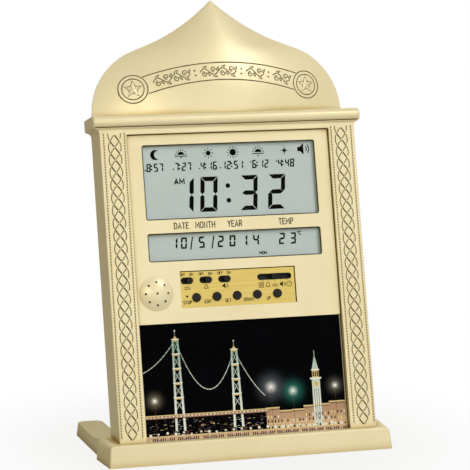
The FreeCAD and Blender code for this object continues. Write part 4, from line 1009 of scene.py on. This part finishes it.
def print_depths(layer):
    return CARD_FACE - (layer + 2) * LAYER, CARD_FACE - (layer + 1) * LAYER + LAYER_LAP


def patch(piece, outline, layer, paint):
    piece.prism(outline, print_depths(layer), paint)


def strip(piece, path, width, layer, paint):
    piece.stroke(path, width, False, print_depths(layer), paint)


def block(piece, x0, x1, z0, z1, layer, paint):
    patch(piece, rectangle(x0, x1, z0, z1), layer, paint)


def beam(piece, x, half, z0, z1, layer, paint):
    """A block even about x."""
    block(piece, x - half, x + half, z0, z1, layer, paint)


def bulb(piece, x, z, radius, layer, sides=8):
    patch(piece, circle(x, z, radius, sides), layer, white)


def arch(piece, x, half, z, height, layer, paint):
    """A round-headed window."""
    head = circle(x, z + height - half, half, 6, 0, pi)
    patch(piece, [(x - half, z), (x + half, z)] + head, layer, paint)


def pylon(piece, x, height):
    """A floodlit bridge tower: two legs that lean together, cross beams, braces and a beacon."""
    for side in (-1, 1):
        leg = [(PYLON_FOOT, WATER_Z), (PYLON_FOOT - 1.7, WATER_Z), (PYLON_HEAD - 1.2, height),
               (PYLON_HEAD, height)]
        patch(piece, [(x + side * a, z) for a, z in leg], 1, mint)
        beam(piece, x + side * PYLON_FOOT, 1.6, WATER_Z, 4.0, 2, umber)
    levels = steps(DECK_Z + 2.0, height, 9.5)
    for low, high in zip(levels, levels[1:]):
        wide, half = (PYLON_FOOT + (PYLON_HEAD - PYLON_FOOT) * z / height - 0.5 for z in (low, high))
        beam(piece, x, half, high - 1.5, high, 2, cream)
        beam(piece, x, half + 0.9, high - 0.45, high + 0.1, 3, white)
        for hand in (-1, 1):
            strip(piece, [(x - hand * wide, low), (x + hand * half, high - 1.5)], 0.36, 0, mint)
    patch(piece, [(x - 1.6, height), (x + 1.6, height), (x, height + 2.4)], 1, cream)
    strip(piece, [(x, height + 1.6), (x, height + 5.4)], 0.26, 1, mint)
    bulb(piece, x, height + 5.6, 0.5, 2, 10)


def cable(piece, start, stop, sag):
    """A hanging cable strung with lamps."""
    (x0, z0), (x1, z1) = start, stop
    path = [(x0 + (x1 - x0) * share, z0 + (z1 - z0) * share - 4 * sag * share * (1 - share))
            for share in steps(0, 1, 2.3 / (x1 - x0))]
    strip(piece, path, 0.42, 0, mint)
    for x, z in path[1:-1]:
        bulb(piece, x, z, 0.36, 2)


def bridge(piece, rng):
    start, stop, low = LEFT + MARGIN, BANK_X + 2, DECK_Z - DECK_H
    tops = [(x, height - 0.6) for x, height in PYLONS]
    cable(piece, (start, 44.0), tops[0], 3.0)
    cable(piece, tops[0], tops[1], 30.0)
    cable(piece, tops[1], (BANK_X, 24.0), 3.5)
    block(piece, start, stop, low, DECK_Z, 2, brick)
    strip(piece, [(start, DECK_Z), (stop, DECK_Z)], 0.5, 3, cream)
    strip(piece, [(start, low), (stop, low)], 0.4, 3, umber)
    for x in steps(start + 1.2, BANK_X, 2.6):
        bulb(piece, x, DECK_Z - DECK_H / 2, 0.4 + 0.2 * rng.random(), 3)
    for x, height in PYLONS:
        pylon(piece, x, height)


def water(piece, rng):
    """Lights of the bridge, broken up on the water."""
    for _ in range(230):
        x = rng.uniform(LEFT + 2, BANK_X)
        z = rng.uniform(WATER_Z, DECK_Z - DECK_H - 1.0)
        half = rng.uniform(0.3, 1.3) * (1.25 - z / DECK_Z)
        near = min(abs(x - place) for place, _ in PYLONS)
        shade = white if near < 4 else rng.choice((violet, umber, brick, cream, umber))
        beam(piece, x, half, z, z + 0.24, 0, shade)


def warehouse(piece, x0, x1, top, rng):
    """A brick house on the quay: lit arcade below, rows of windows, and a pale cornice."""
    block(piece, x0, x1, WATER_Z, top, 1, brick)
    block(piece, x0 - 0.2, x1 + 0.2, top - 0.5, top + 0.3, 3, cream)
    block(piece, x0, x1, top - 1.3, top - 0.9, 2, umber)
    count = max(2, int((x1 - x0) / 2.1))
    for i in range(count):
        x = x0 + (i + 0.5) * (x1 - x0) / count
        arch(piece, x, 0.75, WATER_Z, 4.0, 2, cream)
        arch(piece, x, 0.5, WATER_Z, 3.5, 3, night if rng.random() < 0.6 else white)
        for z in steps(5.2, top - 4.2, STOREY)[:-1]:
            lit = rng.random()
            shade = white if lit < 0.18 else (cream if lit < 0.5 else (night if lit < 0.8 else umber))
            arch(piece, x, 0.42, z, 1.9, 2, shade)
    strip(piece, [(x0, 4.6), (x1, 4.6)], 0.4, 2, cream)


def belfry(piece, x, top, half):
    """A floodlit clock tower of pale stone with a cream gallery and a steep roof."""
    gallery = top * 0.66
    eaves = gallery + 6.9
    beam(piece, x, half, WATER_Z, gallery, 2, mint)
    for side in (-1, 0, 1):
        strip(piece, [(x + side * 1.5, 6.0), (x + side * 1.5, gallery - 6.5)], 0.34, 3, umber)
    patch(piece, circle(x, gallery - 3.4, 1.9, 20), 3, cream)
    strip(piece, [(x, gallery - 2.1), (x, gallery - 3.4), (x + 0.9, gallery - 3.4)], 0.26, 4, night)
    beam(piece, x, half + 1.1, gallery, gallery + 1.2, 3, white)
    beam(piece, x, half * 0.8, gallery + 1.2, gallery + 6.4, 2, cream)
    for side in (-1, 0, 1):
        arch(piece, x + side * 1.45, 0.5, gallery + 1.8, 3.6, 3, umber)
    beam(piece, x, half, gallery + 6.0, eaves, 3, white)
    patch(piece, [(x - half * 0.8, eaves), (x + half * 0.8, eaves), (x, top)], 2, mint)
    strip(piece, [(x, top - 1), (x, top + 2.6)], 0.24, 2, white)


def quay(piece, rng):
    """The near bank: a low lit wall with dark bays, and lamps along it."""
    low, high = FOOT + MARGIN, WATER_Z + 1.6
    block(piece, LEFT, RIGHT, low, high, 4, brick)
    strip(piece, [(LEFT, high), (RIGHT, high)], 0.4, 5, cream)
    for i in range(24):
        x = LEFT + 2.5 + i * 5.9 + rng.random()
        rise = 0.6 + 1.6 * rng.random()
        bulb(piece, x, high + rise, 0.6 + 0.5 * rng.random(), 5)
        beam(piece, x, 0.6 + rng.random(), low + 0.5, low + 1.1, 5, violet if i % 3 else cream)
        for step in (1.6, 3.0, 4.4):
            arch(piece, x + step, 0.42, low + 0.3, 2.1, 5, umber)


def picture():
    """A river port by night: a lit bridge to the left, brick houses and a clock tower to the right."""
    rng = random.Random(11)
    scene = Piece()
    block(scene, LEFT, RIGHT, FOOT, HEAD, -1, sky)
    water(scene, rng)
    bridge(scene, rng)
    x, edge = BANK_X, RIGHT - MARGIN
    while x < edge - 3:
        width = min(rng.uniform(8.0, 13.0), edge - x)
        warehouse(scene, x, x + width, rng.uniform(12.0, 22.0), rng)
        x += width
    belfry(scene, BELFRY_X, BELFRY_TOP, BELFRY_HALF_W)
    for x, z, _, _ in LAMPS:
        strip(scene, [(x, WATER_Z), (x, z)], 0.22, 3, umber)
        bulb(scene, x, z, 1.0, 4, 18)
    quay(scene, rng)
    block(scene, LEFT, LEFT + MARGIN, FOOT, HEAD, 5, margin)
    block(scene, edge, RIGHT, FOOT, HEAD, 5, margin)
    block(scene, LEFT, RIGHT, FOOT, FOOT + MARGIN, 5, margin)
    scene.object("night_port_print", PRINTS, "picture_print")


# --- surroundings ---
SKY_DIRECTION = (0.35, -0.45, 0.82)
SKY_STRENGTH, SKY_COLOUR = 0.36, (1.0, 0.87, 0.52, 1)
FLOOR_HALF_W = 4.0
FLOOR_TONES = ((0.3, (0.42, 0.38, 0.30, 1)), (0.7, (0.44, 0.40, 0.32, 1)))
FLOOR_FADE = (0.86, 1.0, 0.06, 0.24)  # share of white from and to, at these distances in metres
MIDDLE, CASE_MIDDLE = (0, 0, 0.15), (0, 0, 0.24)
# place, what it lights, width and height, power, colour
STUDIO = {"key": ((1.07, -1.34, 1.94), (0.03, 0, 0.24), (0.6, 0.6), 18, (0.93, 0.97, 1.0)),
          "front": ((0.59, -1.93, 0.73), MIDDLE, (1.2, 1.2), 6.8, (0.96, 0.98, 1.0)),
          "left": ((-0.66, -1.70, 0.98), CASE_MIDDLE, (0.6, 0.6), 10, (1.0, 0.94, 0.78)),
          "back": ((0.3, 1.6, 1.4), MIDDLE, (1.2, 0.8), 6, (1, 1, 1))}
CAMERA_PLACE = (-0.48401, -1.60399, 0.40594)
CAMERA_AZIMUTH, CAMERA_ELEVATION = -16.883, 8.8295
CAMERA_LENS = 189.04


def world():
    """Soft light, warmer than the lamps and stronger from above; the eye sees plain white."""
    made = bpy.data.worlds.new("studio")
    made.use_nodes = True
    nodes = Nodes(made.node_tree)
    direction = nodes.node("TexCoord").outputs["Generated"]
    height = nodes.measure("DOT_PRODUCT", direction, SKY_DIRECTION)
    ambient = nodes.tree.nodes["Background"]
    nodes.feed(ambient.inputs["Color"], SKY_COLOUR)
    nodes.feed(ambient.inputs["Strength"], nodes.between(height, 0.0, SKY_STRENGTH, -1, 1))
    backdrop = nodes.node("Background", Color=WHITE)
    nodes.surface("World Output", nodes.seen_by_eye(), ambient, backdrop)
    bpy.context.scene.world = made


def floor():
    """A pale floor that fades to plain white away from the clock and keeps its shadow."""
    mesh = bpy.data.meshes.new("floor")
    corners = rectangle(-FLOOR_HALF_W, FLOOR_HALF_W, -FLOOR_HALF_W, FLOOR_HALF_W)
    mesh.from_pydata([(x, y, 0) for x, y in corners], [], [(0, 1, 2, 3)])
    made = link("floor", mesh)
    finish = Finish("floor", roughness=0.9, specular=0.1)
    finish.colour(finish.ramp(finish.noise(400, 2), *FLOOR_TONES))
    far = finish.between(finish.measure("LENGTH", finish.place), *FLOOR_FADE, "SMOOTHSTEP")
    share = finish.math("MULTIPLY", finish.seen_by_eye(), far)
    finish.surface("Material Output", share, finish.shader, finish.node("Emission", Strength=1.0))
    mesh.materials.append(finish.material)


def lamp(name, place, target, size, power, colour):
    light = bpy.data.lights.new(name, "AREA")
    light.shape = "RECTANGLE"
    light.size, light.size_y = size
    light.energy = power
    light.color = colour
    made = link(name, light)
    made.location = place
    made.rotation_euler = (Vector(target) - Vector(place)).to_track_quat("-Z", "Y").to_euler()


def camera():
    data = bpy.data.cameras.new("camera")
    data.lens = CAMERA_LENS
    data.sensor_width = 36
    made = link("camera", data)
    made.location = CAMERA_PLACE
    made.rotation_euler = (radians(90 - CAMERA_ELEVATION), 0, radians(CAMERA_AZIMUTH))
    bpy.context.scene.camera = made


# --- scene ---
bpy.context.scene.view_settings.view_transform = "Standard"
camera()
world()
floor()
for name, settings in STUDIO.items():
    lamp(name, *settings)
dress_nodes()
pillars()
dome()
displays()
legends()
picture()
